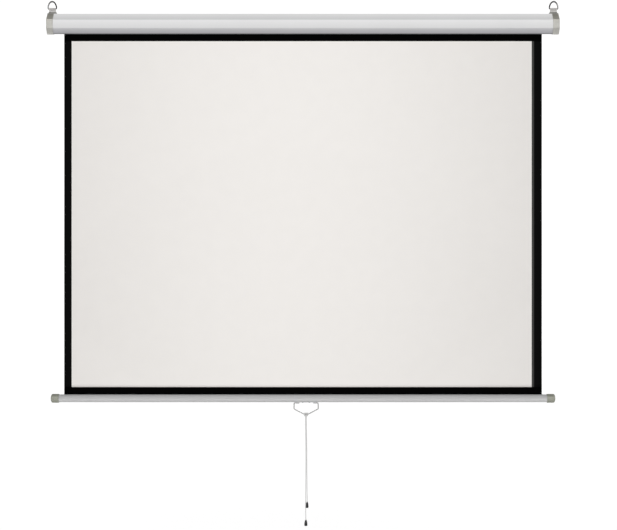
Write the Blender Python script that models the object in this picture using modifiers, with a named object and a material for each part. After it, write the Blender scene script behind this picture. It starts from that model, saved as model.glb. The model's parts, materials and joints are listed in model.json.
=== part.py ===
"""A pull-down projector screen that hangs from two D-rings.

Frame: X to the right seen from the front, the viewer stands on the -Y side, Z up.
Origin: the middle of the flat rear face of the casing, the face that lies on a wall.
The screen is modelled pulled right down, with the pawls of its catch held clear of the ratchet.
"""

import math

import bmesh
import bpy
from mathutils import Vector

MM = 0.001

# ---------------------------------------------------------------- driving dimensions
# Casing: a folded sheet tube, flat at the back, with a slot underneath.
CASING_HALF = 935.5 * MM  # half its length
CASING_WALL = 1.4 * MM
CASING_CORNER = 2.6 * MM  # bend radius between two facets
FRONT_Y = -72.0 * MM
FACET_HIGH_Z = 11.7 * MM  # upper edge of the front facet
FACET_LOW_Z = -20.6 * MM  # lower edge of the front facet
TOP_Z = 37.7 * MM
BOTTOM_Z = -39.6 * MM
TOP_FRONT_Y = -46.0 * MM
BOTTOM_FRONT_Y = -55.0 * MM
REAR_TOP_Y = -14.0 * MM
REAR_EDGE_Z = 24.3 * MM
REAR_LOW_Z = -26.3 * MM  # the underside slopes up to here
SLOT_FRONT_Y = -53.0 * MM
SLOT_REAR_Y = -43.0 * MM
LIP = 4.6 * MM

# End caps: a moulded sleeve over each end of the casing.
CAP_FOOT_Z = -40.4 * MM
CAP_INNER_X = 923.8 * MM
CAP_OUTER_X = 947.8 * MM
CAP_WALL = 2.25 * MM
CAP_ROUND = 3.0 * MM
CAP_SEAT_X = 936.2 * MM  # the casing's end stops short of this
CAP_POCKET_X = 942.6 * MM
FIT = 0.3 * MM  # gap between neighbours

# Roller, parallel to X.
ROLLER_Y = -28.8 * MM
ROLLER_Z = 0.0
TUBE_HALF = 905.0 * MM
TUBE_R = 17.5 * MM
TUBE_WALL = 1.2 * MM
ROLL_R = 18.5 * MM  # the wraps left on the tube when the screen is down
FLANGE_R = 19.6 * MM
SHAFT_R = 4.0 * MM

# Fabric.
FABRIC_Y = -48.0 * MM
FABRIC_T = 0.5 * MM
FABRIC_LEFT = -884.0 * MM
FABRIC_RIGHT = 884.7 * MM
FABRIC_TOP_Z = -2.0 * MM

# Bottom bar, a slotted round tube.
BAR_Z = -1388.6 * MM
BAR_R = 14.5 * MM
BAR_WALL = 1.3 * MM
BAR_HALF = 929.8 * MM
BAR_CAP_INNER_X = 903.6 * MM
BAR_CAP_OUTER_X = 935.9 * MM
BAR_CAP_R = 16.5 * MM
HEM_ROD_R = 2.5 * MM

# Hanging rings, one above each cap.
RING_X = 930.5 * MM
RING_Y = -40.0 * MM
RING_Z = 56.3 * MM
RING_HALF_WIDTH = 15.75 * MM
RING_HEIGHT = 28.4 * MM
RING_WIRE_R = 1.9 * MM
RING_TILT = math.radians(3.0)
STRAP_WIDTH = 26.0 * MM
STRAP_T = 1.2 * MM
CURL_R = 3.35 * MM
BOSS_TOP_Z = 44.3 * MM

# Pull handle, a wire bail under the bar.
HANDLE_X = 11.8 * MM
HANDLE_Z = BAR_Z - BAR_R - 3.5 * MM
HANDLE_WIRE_R = 1.9 * MM
HANDLE_HALF = 44.7 * MM
HANDLE_SHOULDER = -21.5 * MM
HANDLE_DROP = -39.8 * MM
HANDLE_FOOT = 9.9 * MM

# Pull cords.
CORD_R = 1.5 * MM
HITCH_BOTTOM_Z = HANDLE_Z + HANDLE_DROP - 11.2 * MM
LONG_TASSEL_TOP_Z = -1839.4 * MM
SHORT_TASSEL_TOP_Z = -1771.9 * MM
TASSEL_H = 22.2 * MM

# ---------------------------------------------------------------- scene set-up
for old in list(bpy.data.objects):
    bpy.data.objects.remove(old, do_unlink=True)

model = bpy.data.collections.new("pull_down_projector_screen")
cutters = bpy.data.collections.new("cutters")
bpy.context.scene.collection.children.link(model)
bpy.context.scene.collection.children.link(cutters)


def material(name, colour, roughness, metallic=0.0):
    made = bpy.data.materials.new(name)
    made.use_nodes = True
    shader = made.node_tree.nodes["Principled BSDF"]
    shader.inputs["Base Color"].default_value = (*colour, 1.0)
    shader.inputs["Roughness"].default_value = roughness
    shader.inputs["Metallic"].default_value = metallic
    made.diffuse_color = (*colour, 1.0)
    return made


CASING_PAINT = material("casing_paint", (0.74, 0.74, 0.75), 0.35)
CAP_PLASTIC = material("cap_plastic", (0.42, 0.41, 0.38), 0.4)
BRACKET_STEEL = material("bracket_steel", (0.55, 0.55, 0.56), 0.4, 1.0)
PLATED_STEEL = material("plated_steel", (0.6, 0.6, 0.61), 0.25, 1.0)
STRAP_STEEL = material("strap_steel", (0.62, 0.6, 0.59), 0.35, 1.0)
RING_STEEL = material("ring_steel", (0.45, 0.45, 0.45), 0.25, 1.0)
ROLLER_ALUMINIUM = material("roller_aluminium", (0.7, 0.7, 0.71), 0.4, 1.0)
PLUG_NYLON = material("plug_nylon", (0.1, 0.1, 0.11), 0.45)
BUSH_NYLON = material("bush_nylon", (0.8, 0.78, 0.72), 0.4)
SPRING_STEEL = material("spring_steel", (0.3, 0.3, 0.31), 0.35, 1.0)
ZINC = material("zinc", (0.5, 0.51, 0.53), 0.45, 1.0)
SCREEN_CLOTH = material("screen_cloth", (0.83, 0.81, 0.79), 0.9)
WOUND_CLOTH = material("wound_cloth", (0.03, 0.03, 0.03), 0.85)
BAR_ALUMINIUM = material("bar_aluminium", (0.5, 0.5, 0.5), 0.4, 0.6)
BAR_CAP_PLASTIC = material("bar_cap_plastic", (0.31, 0.32, 0.27), 0.45)
HANDLE_WIRE = material("handle_wire", (0.55, 0.55, 0.55), 0.3, 0.8)
WHITE_CORD = material("white_cord", (0.8, 0.8, 0.8), 0.8)
BLACK_PLASTIC = material("black_plastic", (0.01, 0.01, 0.01), 0.35)


# ---------------------------------------------------------------- shape helpers
def empty(name, place, parent=None):
    made = bpy.data.objects.new(name, None)
    made.empty_display_size = 0.03
    made.location = Vector(place)
    if parent is not None:
        made.parent = parent
        made.location = Vector(place) - world_of(parent)
    model.objects.link(made)
    return made


def world_of(obj):
    place = Vector(obj.location)
    while obj.parent is not None:
        obj = obj.parent
        place += obj.location
    return place


def link(obj, collection, parent):
    collection.objects.link(obj)
    if parent is not None:
        place = Vector(obj.location)
        obj.parent = parent
        obj.location = place - world_of(parent)
    if collection is cutters:
        obj.hide_render = True
        obj.display_type = "WIRE"
    return obj


def from_bmesh(name, bm, paint, parent=None, origin=None, collection=None, crease=35.0):
    """An object from a closed bmesh in world metres, with its origin at the parent's."""
    bmesh.ops.recalc_face_normals(bm, faces=bm.faces)
    if origin is None:
        origin = world_of(parent) if parent is not None else Vector((0, 0, 0))
    bmesh.ops.translate(bm, verts=bm.verts, vec=-Vector(origin))
    mesh = bpy.data.meshes.new(name)
    bm.to_mesh(mesh)
    bm.free()
    if paint is not None:
        mesh.materials.append(paint)
    mesh.shade_smooth()
    mesh.set_sharp_from_angle(angle=math.radians(crease))
    obj = bpy.data.objects.new(name, mesh)
    obj.location = origin
    return link(obj, collection or model, parent)


def prism(outline, x0, x1):
    """A closed bmesh: an outline of (y, z) points pushed along X."""
    bm = bmesh.new()
    face = bm.faces.new([bm.verts.new((x0, y, z)) for y, z in outline])
    out = bmesh.ops.extrude_face_region(bm, geom=[face])
    moved = [g for g in out["geom"] if isinstance(g, bmesh.types.BMVert)]
    bmesh.ops.translate(bm, verts=moved, vec=(x1 - x0, 0, 0))
    return bm


def box(low, high):
    bm = bmesh.new()
    bmesh.ops.create_cube(bm, size=1.0)
    low, high = Vector(low), Vector(high)
    bmesh.ops.scale(bm, verts=bm.verts, vec=high - low)
    bmesh.ops.translate(bm, verts=bm.verts, vec=(high + low) / 2)
    return bm


def soften(bm, width, segments, edges=None):
    bmesh.ops.bevel(
        bm,
        geom=list(edges if edges is not None else bm.edges),
        offset=width,
        segments=segments,
        profile=0.5,
        affect="EDGES",
        clamp_overlap=True,
    )
    return bm


def turned(name, profile, centre, paint, parent=None, steps=32, axis="X", collection=None):
    """A turned solid: (radius, distance along the axis) points, the outer side from the far end back."""
    mesh = bpy.data.meshes.new(name)
    closed = profile[0][0] > 0
    count = len(profile)
    edges = [(i, i + 1) for i in range(count - 1)] + ([(count - 1, 0)] if closed else [])
    mesh.from_pydata([(r, 0, t) for r, t in profile], edges, [])
    if paint is not None:
        mesh.materials.append(paint)
    obj = bpy.data.objects.new(name, mesh)
    obj.location = Vector(centre)
    if axis == "X":
        obj.rotation_euler = (0, math.pi / 2, 0)
    spin = obj.modifiers.new("spin", "SCREW")
    spin.axis = "Z"
    spin.angle = 2 * math.pi
    spin.steps = spin.render_steps = steps
    spin.use_merge_vertices = True
    spin.merge_threshold = 0.00001
    spin.use_smooth_shade = True
    return link(obj, collection or model, parent)


def wire(name, points, radius, paint, parent=None, cyclic=False, resolution=2):
    curve = bpy.data.curves.new(name, "CURVE")
    curve.dimensions = "3D"
    curve.bevel_depth = radius
    curve.bevel_resolution = resolution
    curve.use_fill_caps = True
    origin = world_of(parent) if parent is not None else Vector((0, 0, 0))
    spline = curve.splines.new("POLY")
    spline.points.add(len(points) - 1)
    for point, place in zip(spline.points, points):
        point.co = (*(Vector(place) - origin), 1.0)
    spline.use_cyclic_u = cyclic
    spline.use_smooth = True
    curve.materials.append(paint)
    obj = bpy.data.objects.new(name, curve)
    obj.location = origin
    return link(obj, model, parent)


def folded_sheet(name, path, x0, x1, thickness, paint, parent=None, side=-1.0):
    """A bent sheet: an open (y, z) path pushed along X as a surface, with a Solidify."""
    bm = bmesh.new()
    rows = [(bm.verts.new((x0, y, z)), bm.verts.new((x1, y, z))) for y, z in path]
    for (a, b), (c, d) in zip(rows, rows[1:]):
        bm.faces.new((a, b, d, c))
    origin = world_of(parent) if parent is not None else Vector((0, 0, 0))
    bmesh.ops.translate(bm, verts=bm.verts, vec=-origin)
    mesh = bpy.data.meshes.new(name)
    bm.to_mesh(mesh)
    bm.free()
    mesh.materials.append(paint)
    mesh.shade_smooth()
    mesh.set_sharp_from_angle(angle=math.radians(35))
    obj = bpy.data.objects.new(name, mesh)
    obj.location = origin
    shell = obj.modifiers.new("wall", "SOLIDIFY")
    shell.thickness = thickness
    shell.offset = side
    shell.use_even_offset = True
    shell.use_rim = True
    return link(obj, model, parent)


def boolean(obj, other, operation="DIFFERENCE"):
    cut = obj.modifiers.new(operation.lower(), "BOOLEAN")
    cut.operation = operation
    cut.object = other
    cut.solver = "EXACT"
    return obj


def helper(bm, name):
    return from_bmesh(name, bm, None, collection=cutters)


def round_cutter(name, radius, low, high, centre, axis="X", steps=24):
    """A plain cylinder along an axis through centre, from low to high along it."""
    profile = [(0, high), (radius, high), (radius, low), (0, low)]
    place = (0, centre[0], centre[1]) if axis == "X" else (centre[0], centre[1], 0)
    return turned(name, profile, place, None, steps=steps, axis=axis, collection=cutters)


def rounded(points, radius, segments=3, closed=True):
    """The same outline with each corner turned into an arc."""
    count, out = len(points), []
    for i, here in enumerate(points):
        if not closed and i in (0, count - 1):
            out.append(here)
            continue
        p = Vector(here)
        before = (Vector(points[i - 1]) - p).normalized()
        after = (Vector(points[(i + 1) % count]) - p).normalized()
        between = before.angle(after)
        reach = radius / math.tan(between / 2)
        middle = p + (before + after).normalized() * (radius / math.sin(between / 2))
        start = p + before * reach
        turn = math.pi - between
        sign = -1 if before.cross(after) > 0 else 1
        arm = start - middle
        for k in range(segments + 1):
            a = sign * turn * k / segments
            out.append(
                (
                    middle.x + arm.x * math.cos(a) - arm.y * math.sin(a),
                    middle.y + arm.x * math.sin(a) + arm.y * math.cos(a),
                )
            )
    return out


def grown(points, by):
    """A clockwise (y to the right, z up) outline moved outwards by a distance."""
    out, count = [], len(points)
    for i in range(count):
        p = Vector(points[i])
        a = (p - Vector(points[i - 1])).normalized()
        b = (Vector(points[(i + 1) % count]) - p).normalized()
        na, nb = Vector((-a.y, a.x)), Vector((-b.y, b.x))
        mid = (na + nb).normalized()
        out.append(tuple(p + mid * (by / mid.dot(na))))
    return out


def behind_wall_cut(points, limit=0.0):
    """Leaves out what lies past y = limit."""
    out, count = [], len(points)
    for i in range(count):
        p, q = points[i], points[(i + 1) % count]
        if p[0] <= limit:
            out.append(p)
        if (p[0] - limit) * (q[0] - limit) < 0:
            t = (limit - p[0]) / (q[0] - p[0])
            out.append((limit, p[1] + t * (q[1] - p[1])))
    return out


def smooth_route(knots, count):
    """Points evenly numbered along a Catmull-Rom curve through the knots."""
    pts = [Vector(k) for k in knots]
    pts = [2 * pts[0] - pts[1], *pts, 2 * pts[-1] - pts[-2]]
    spans, out = len(pts) - 3, []
    for n in range(count):
        at = n / (count - 1) * spans
        i = min(int(at), spans - 1)
        t = at - i
        a, b, c, d = pts[i : i + 4]
        out.append(
            0.5
            * (
                2 * b
                + (c - a) * t
                + (2 * a - 5 * b + 4 * c - d) * t * t
                + (3 * b - a - 3 * c + d) * t**3
            )
        )
    return out


def ring_of(outer, inner, low, high):
    return [(outer, high), (outer, low), (inner, low), (inner, high)]


def solid_of(radius, low, high):
    return [(0, high), (radius, high), (radius, low), (0, low)]


# ---------------------------------------------------------------- joint frames
root = empty("casing_frame", (0, 0, 0))
roller_axis = empty("roller_axis", (0, ROLLER_Y, ROLLER_Z), root)
bar_frame = empty("bar_slide_frame", (0, FABRIC_Y, BAR_Z), root)
handle_axis = empty("handle_swing_axis", (HANDLE_X, FABRIC_Y, HANDLE_Z), bar_frame)
cord_axis = empty(
    "cord_swing_axis", (HANDLE_X, FABRIC_Y, HANDLE_Z + HANDLE_DROP), handle_axis
)

# ---------------------------------------------------------------- casing
OUTLINE = [
    (FRONT_Y, FACET_LOW_Z),
    (FRONT_Y, FACET_HIGH_Z),
    (TOP_FRONT_Y, TOP_Z),
    (REAR_TOP_Y, TOP_Z),
    (0.0, REAR_EDGE_Z),
    (0.0, REAR_LOW_Z),
    (BOTTOM_FRONT_Y, BOTTOM_Z),
]


def underside(y):
    return BOTTOM_Z + (REAR_LOW_Z - BOTTOM_Z) * (y - BOTTOM_FRONT_Y) / -BOTTOM_FRONT_Y



casing_path = [
    *rounded(
        [
            (SLOT_FRONT_Y, underside(SLOT_FRONT_Y) + LIP),
            (SLOT_FRONT_Y, underside(SLOT_FRONT_Y)),
            (BOTTOM_FRONT_Y, BOTTOM_Z),
        ],
        0.5 * MM,
        2,
        closed=False,
    )[:-1],
    *rounded(
        [
            (SLOT_FRONT_Y - 0.5 * MM, underside(SLOT_FRONT_Y - 0.5 * MM)),
            (BOTTOM_FRONT_Y, BOTTOM_Z),
            (FRONT_Y, FACET_LOW_Z),
        ],
        2.0 * MM,
        3,
        closed=False,
    )[1:-1],
    *rounded(
        [(BOTTOM_FRONT_Y, BOTTOM_Z), *OUTLINE[:6], (SLOT_REAR_Y, underside(SLOT_REAR_Y))],
        CASING_CORNER,
        4,
        closed=False,
    )[1:-1],
    *rounded(
        [
            (SLOT_REAR_Y + 8 * MM, underside(SLOT_REAR_Y + 8 * MM)),
            (SLOT_REAR_Y, underside(SLOT_REAR_Y)),
            (SLOT_REAR_Y, underside(SLOT_REAR_Y) + LIP),
        ],
        1.6 * MM,
        3,
        closed=False,
    )[1:],
]
casing = folded_sheet(
    "casing", casing_path, -CASING_HALF, CASING_HALF, CASING_WALL, CASING_PAINT, root
)

# ---------------------------------------------------------------- the two ends
SCREW_SPOTS = {"front": (-58.0 * MM, -4.0 * MM), "rear": (-10.5 * MM, -4.0 * MM)}
STRAP_SCREW_Y = -25.0 * MM


def mirrored(bm, side):
    if side < 0:
        bmesh.ops.scale(bm, verts=bm.verts, vec=(-1, 1, 1))
    return bm


def build_end(side, word):
    """Everything fixed to one end of the casing. side is +1 on the right, -1 on the left."""
    x = lambda value: side * value  # noqa: E731

    # end cap: outer form with a rounded end, sleeve bore, deeper pocket, screw seats
    outer = behind_wall_cut(grown(OUTLINE, CAP_WALL))
    outer = [(z, y) for y, z in outer]
    outer = behind_wall_cut([(-a, b) for a, b in outer], -CAP_FOOT_Z)
    outer = rounded([(y, -z) for z, y in outer], 1.6 * MM, 2)
    bm = prism(outer, CAP_INNER_X, CAP_OUTER_X)
    far = [e for e in bm.edges if all(abs(v.co.x - CAP_OUTER_X) < 1e-6 for v in e.verts)]
    soften(bm, CAP_ROUND, 3, far)
    near = [e for e in bm.edges if all(abs(v.co.x - CAP_INNER_X) < 1e-6 for v in e.verts)]
    soften(bm, 0.6 * MM, 1, near)
    cap = from_bmesh(f"end_cap_{word}", mirrored(bm, side), CAP_PLASTIC, root)
    boss = box(
        (RING_X - 13.3 * MM, -44.5 * MM, TOP_Z + 0.45 * MM),
        (RING_X + 13.3 * MM, -13.5 * MM, BOSS_TOP_Z),
    )
    upright = [
        e for e in boss.edges if abs(e.verts[0].co.z - e.verts[1].co.z) > 1e-4
    ]
    soften(boss, 2.0 * MM, 2, upright)
    boolean(cap, helper(mirrored(boss, side), f"boss_{word}"), "UNION")
    sleeve = prism(rounded(grown(OUTLINE, FIT), 2.9 * MM, 3), CAP_INNER_X - 5 * MM, CAP_SEAT_X)
    boolean(cap, helper(mirrored(sleeve, side), f"sleeve_bore_{word}"))
    pocket = prism(
        rounded(grown(OUTLINE, -1.8 * MM), 1.5 * MM, 2), CAP_SEAT_X - 1 * MM, CAP_POCKET_X
    )
    boolean(cap, helper(mirrored(pocket, side), f"pocket_{word}"))
    strap_hole = round_cutter(
        f"strap_hole_{word}", 2.3 * MM, 30 * MM, 60 * MM, (x(RING_X), STRAP_SCREW_Y), "Z"
    )
    boolean(cap, strap_hole)
    boolean(casing, strap_hole)
    for spot, (y, z) in SCREW_SPOTS.items():
        low, high = sorted((x(940 * MM), x(960 * MM)))
        boolean(cap, round_cutter(f"cap_hole_{spot}_{word}", 2.1 * MM, low, high, (y, z)))
        low, high = sorted((x(945.2 * MM), x(960 * MM)))
        boolean(cap, round_cutter(f"cap_seat_{spot}_{word}", 4.0 * MM, low, high, (y, z)))

    # bearing bracket: a steel plate in the pocket, with a leg under the top and over the bottom
    plate = prism(
        rounded(grown(OUTLINE, -2.4 * MM), 1.2 * MM, 2), 938.5 * MM, 940.9 * MM
    )
    bracket = from_bmesh(f"bearing_bracket_{word}", mirrored(plate, side), BRACKET_STEEL, root)
    top_leg = box((914 * MM, -40 * MM, 34.0 * MM), (940.0 * MM, -18 * MM, 35.7 * MM))
    boolean(bracket, helper(mirrored(top_leg, side), f"top_leg_{word}"), "UNION")
    boolean(bracket, strap_hole)
    for spot, (y, z) in SCREW_SPOTS.items():
        low, high = sorted((x(930 * MM), x(945 * MM)))
        boolean(bracket, round_cutter(f"plate_hole_{spot}_{word}", 2.05 * MM, low, high, (y, z)))
    if side < 0:
        slot = box(
            (-945 * MM, ROLLER_Y - 1.8 * MM, -4.4 * MM),
            (-930 * MM, ROLLER_Y + 1.8 * MM, 4.4 * MM),
        )
        boolean(bracket, helper(slot, "tang_slot"))
    else:
        hole = round_cutter(
            "bush_hole", 7.35 * MM, 930 * MM, 945 * MM, (ROLLER_Y, ROLLER_Z), steps=32
        )
        boolean(bracket, hole)

    # slotted screws that hold the cap to the bracket, heads sunk in the end face
    for spot, (y, z) in SCREW_SPOTS.items():
        profile = [
            (0, 1.9 * MM),
            (2.2 * MM, 1.9 * MM),
            (3.3 * MM, 1.3 * MM),
            (3.6 * MM, 0.5 * MM),
            (3.6 * MM, 0.0),
            (1.7 * MM, 0.0),
            (1.7 * MM, -7.0 * MM),
            (1.0 * MM, -8.2 * MM),
            (0, -8.2 * MM),
        ]
        screw = turned(
            f"cap_screw_{spot}_{word}", profile, (x(945.5 * MM), y, z), PLATED_STEEL, root, 12
        )
        if side < 0:
            screw.rotation_euler = (0, -math.pi / 2, 0)
        groove = box(
            (946.6 * MM, y - 5.0 * MM, z - 0.5 * MM), (949 * MM, y + 5.0 * MM, z + 0.5 * MM)
        )
        boolean(screw, helper(mirrored(groove, side), f"groove_{spot}_{word}"))

    # hanger strap: a foot on the cap's boss, a leaf, and a curl round the ring's flat side
    foot_z = BOSS_TOP_Z + FIT + STRAP_T / 2
    leaf_y = RING_Y + CURL_R
    path = rounded(
        [(-16.0 * MM, foot_z), (leaf_y, foot_z), (leaf_y, RING_Z)], 2.2 * MM, 3, closed=False
    )
    for k in range(1, 15):
        a = math.radians(268.0 * k / 14)
        path.append((RING_Y + CURL_R * math.cos(a), RING_Z + CURL_R * math.sin(a)))
    strap = folded_sheet(
        f"hanger_strap_{word}",
        path,
        x(RING_X) - STRAP_WIDTH / 2,
        x(RING_X) + STRAP_WIDTH / 2,
        STRAP_T,
        STRAP_STEEL,
        root,
        side=0.0,
    )
    boolean(strap, strap_hole)
    profile = [
        (0, 2.1 * MM),
        (1.8 * MM, 2.1 * MM),
        (3.2 * MM, 1.4 * MM),
        (3.7 * MM, 0.5 * MM),
        (3.7 * MM, 0.0),
        (1.9 * MM, 0.0),
        (1.9 * MM, -13.5 * MM),
        (1.0 * MM, -15.0 * MM),
        (0, -15.0 * MM),
    ]
    seat_z = BOSS_TOP_Z + FIT + STRAP_T + FIT
    turned(
        f"strap_screw_{word}",
        profile,
        (x(RING_X), STRAP_SCREW_Y, seat_z),
        PLATED_STEEL,
        root,
        16,
        axis="Z",
    )

    # D-ring: half an ellipse closed by a straight side, tilted a little as it hangs
    axis = empty(f"ring_axis_{word}", (x(RING_X), RING_Y, RING_Z), root)
    corner = 2.4 * MM
    loop = []
    for k in range(19):
        a = math.pi * k / 18
        loop.append((RING_HALF_WIDTH * math.cos(a), corner + (RING_HEIGHT - corner) * math.sin(a)))
    for turn_from, cx in ((180, -1), (270, 1)):
        for k in range(1 if cx < 0 else 0, 4 if cx < 0 else 3):
            a = math.radians(turn_from + 90 * k / 3)
            loop.append(
                (
                    cx * (RING_HALF_WIDTH - corner) + corner * math.cos(a),
                    corner + corner * math.sin(a),
                )
            )
    tilt = -side * RING_TILT
    points = [
        (
            x(RING_X) + u * math.cos(tilt) - v * math.sin(tilt),
            RING_Y,
            RING_Z + u * math.sin(tilt) + v * math.cos(tilt),
        )
        for u, v in loop
    ]
    wire(f"d_ring_{word}", points, RING_WIRE_R, RING_STEEL, axis, cyclic=True)


build_end(-1, "left")
build_end(1, "right")

# ---------------------------------------------------------------- roller
centre = (0, ROLLER_Y, ROLLER_Z)
tube = turned(
    "roller_tube",
    ring_of(TUBE_R, TUBE_R - TUBE_WALL, -TUBE_HALF, TUBE_HALF),
    centre,
    ROLLER_ALUMINIUM,
    roller_axis,
    36,
)
turned(
    "fabric_roll",
    ring_of(ROLL_R, TUBE_R + FIT + 0.1 * MM, FABRIC_LEFT, FABRIC_RIGHT),
    centre,
    WOUND_CLOTH,
    roller_axis,
    36,
)
PLUG_R = TUBE_R - TUBE_WALL - FIT - 0.1 * MM
FLANGE_FACE = TUBE_HALF + FIT
# lock-side plug: turns on the shaft and carries the pawls
left_plug = [
    (PLUG_R, -TUBE_HALF + 26 * MM),
    (PLUG_R, -FLANGE_FACE),
    (FLANGE_R, -FLANGE_FACE),
    (FLANGE_R, -FLANGE_FACE - 3.0 * MM),
    (SHAFT_R + FIT, -FLANGE_FACE - 3.0 * MM),
    (SHAFT_R + FIT, -TUBE_HALF + 26 * MM),
]
lock_plug = turned("roller_plug_left", left_plug, centre, PLUG_NYLON, roller_axis, 36)
right_plug = [
    (SHAFT_R + FIT, FLANGE_FACE + 3.0 * MM),
    (FLANGE_R, FLANGE_FACE + 3.0 * MM),
    (FLANGE_R, FLANGE_FACE),
    (PLUG_R, FLANGE_FACE),
    (PLUG_R, TUBE_HALF - 26 * MM),
    (SHAFT_R + FIT, TUBE_HALF - 26 * MM),
]
turned("roller_plug_right", right_plug, centre, PLUG_NYLON, roller_axis, 36)
turned(
    "idler_pin",
    [
        (0, 942.2 * MM),
        (SHAFT_R - 0.6 * MM, 942.2 * MM),
        (SHAFT_R, 941.6 * MM),
        (SHAFT_R, 876.0 * MM),
        (0, 876.0 * MM),
    ],
    centre,
    PLATED_STEEL,
    roller_axis,
    24,
)
turned(
    "idler_bush",
    [
        (7.0 * MM, 941.4 * MM),
        (7.0 * MM, 938.2 * MM),
        (9.6 * MM, 938.2 * MM),
        (9.6 * MM, 935.6 * MM),
        (4.32 * MM, 935.6 * MM),
        (4.32 * MM, 941.4 * MM),
    ],
    centre,
    BUSH_NYLON,
    root,
    32,
)

# spring shaft: held still by the flat tang in the left bracket's slot
SHAFT_INNER_X = -330.0 * MM
shaft = turned(
    "spring_shaft",
    [
        (0, SHAFT_INNER_X),
        (SHAFT_R, SHAFT_INNER_X),
        (SHAFT_R, -934.5 * MM),
        (0, -934.5 * MM),
    ],
    centre,
    PLATED_STEEL,
    root,
    24,
)
tang = box(
    (-942.2 * MM, ROLLER_Y - 1.5 * MM, -4.0 * MM), (-930.0 * MM, ROLLER_Y + 1.5 * MM, 4.0 * MM)
)
boolean(shaft, helper(tang, "tang"), "UNION")

# torsion spring, wound round the shaft, between a fixed collar and a plug that turns
SPRING_LEFT, SPRING_RIGHT = -868.0 * MM, -352.0 * MM
SPRING_R, SPRING_WIRE_R, SPRING_TURNS, PER_TURN = 10.2 * MM, 1.2 * MM, 20, 10
coil = []
for n in range(SPRING_TURNS * PER_TURN + 1):
    a = 2 * math.pi * n / PER_TURN
    along = SPRING_LEFT + (SPRING_RIGHT - SPRING_LEFT) * n / (SPRING_TURNS * PER_TURN)
    coil.append(
        (along, ROLLER_Y + SPRING_R * math.cos(a), ROLLER_Z + SPRING_R * math.sin(a))
    )
wire("torsion_spring", coil, SPRING_WIRE_R, SPRING_STEEL, root, resolution=1)
turned(
    "spring_collar",
    ring_of(13.0 * MM, SHAFT_R + FIT, -877.5 * MM, -870.0 * MM),
    centre,
    ZINC,
    root,
    28,
)
turned(
    "spring_plug",
    ring_of(PLUG_R, SHAFT_R + FIT, -349.5 * MM, -334.0 * MM),
    centre,
    ZINC,
    roller_axis,
    36,
)

# ratchet on the shaft: a disc with four notches, which the pawls drop into
WHEEL_LOW, WHEEL_HIGH = -919.6 * MM, -915.6 * MM
wheel = turned(
    "ratchet_wheel",
    ring_of(8.6 * MM, SHAFT_R + FIT, WHEEL_LOW, WHEEL_HIGH),
    centre,
    ZINC,
    root,
    40,
)
for n in range(4):
    a = math.radians(92.5 + 90 * n)
    notch = box((WHEEL_LOW - 1 * MM, -2.3 * MM, 6.7 * MM), (WHEEL_HIGH + 1 * MM, 2.3 * MM, 12 * MM))
    turn = a - math.pi / 2
    for v in notch.verts:
        y, z = v.co.y, v.co.z
        v.co.y = ROLLER_Y + y * math.cos(turn) - z * math.sin(turn)
        v.co.z = ROLLER_Z + y * math.sin(turn) + z * math.cos(turn)
    boolean(wheel, helper(notch, f"notch_{n}"))
turned(
    "shaft_circlip",
    ring_of(6.4 * MM, SHAFT_R + FIT, -922.4 * MM, -921.2 * MM),
    centre,
    PLATED_STEEL,
    root,
    20,
)

# pawls: small levers on pins in the left plug's face
PAWL_PIVOT = (-9.5 * MM, 11.5 * MM)
PAWL_FORM = [
    (-11.6 * MM, 10.6 * MM),
    (-11.6 * MM, 12.6 * MM),
    (-10.4 * MM, 13.6 * MM),
    (-7.0 * MM, 13.4 * MM),
    (0.4 * MM, 13.0 * MM),
    (1.3 * MM, 12.2 * MM),
    (1.3 * MM, 9.6 * MM),
    (0.7 * MM, 9.0 * MM),
    (-0.6 * MM, 9.0 * MM),
    (-1.2 * MM, 9.6 * MM),
    (-1.2 * MM, 10.6 * MM),
    (-6.8 * MM, 10.7 * MM),
    (-8.4 * MM, 9.4 * MM),
    (-10.4 * MM, 9.4 * MM),
]
for word, turn in (("upper", 0.0), ("lower", math.pi)):
    form = []
    for y, z in [PAWL_PIVOT, *PAWL_FORM]:
        form.append(
            (
                ROLLER_Y + y * math.cos(turn) - z * math.sin(turn),
                ROLLER_Z + y * math.sin(turn) + z * math.cos(turn),
            )
        )
    pivot, outline = form[0], form[1:]
    axis = empty(f"pawl_axis_{word}", (-917.6 * MM, *pivot), roller_axis)
    pawl = from_bmesh(f"lock_pawl_{word}", prism(outline, -919.1 * MM, -916.1 * MM), ZINC, axis)
    boolean(
        pawl, round_cutter(f"pawl_bore_{word}", 1.3 * MM, -925 * MM, -912 * MM, pivot, steps=16)
    )
    pin = [
        (1.0 * MM, -904.9 * MM),
        (1.0 * MM, -919.5 * MM),
        (1.9 * MM, -919.5 * MM),
        (1.9 * MM, -920.7 * MM),
        (0, -920.7 * MM),
    ]
    turned(
        f"pawl_pin_{word}",
        [(0, -904.9 * MM), *pin],
        (0, *pivot),
        PLATED_STEEL,
        roller_axis,
        12,
    )
    boolean(
        lock_plug,
        round_cutter(f"pin_seat_{word}", 1.3 * MM, -915 * MM, -903 * MM, pivot, steps=16),
    )

# ---------------------------------------------------------------- fabric
from_bmesh(
    "screen_fabric",
    box(
        (FABRIC_LEFT, FABRIC_Y - FABRIC_T / 2, BAR_Z + BAR_R - 1.9 * MM),
        (FABRIC_RIGHT, FABRIC_Y + FABRIC_T / 2, FABRIC_TOP_Z),
    ),
    SCREEN_CLOTH,
    root,
)

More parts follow.
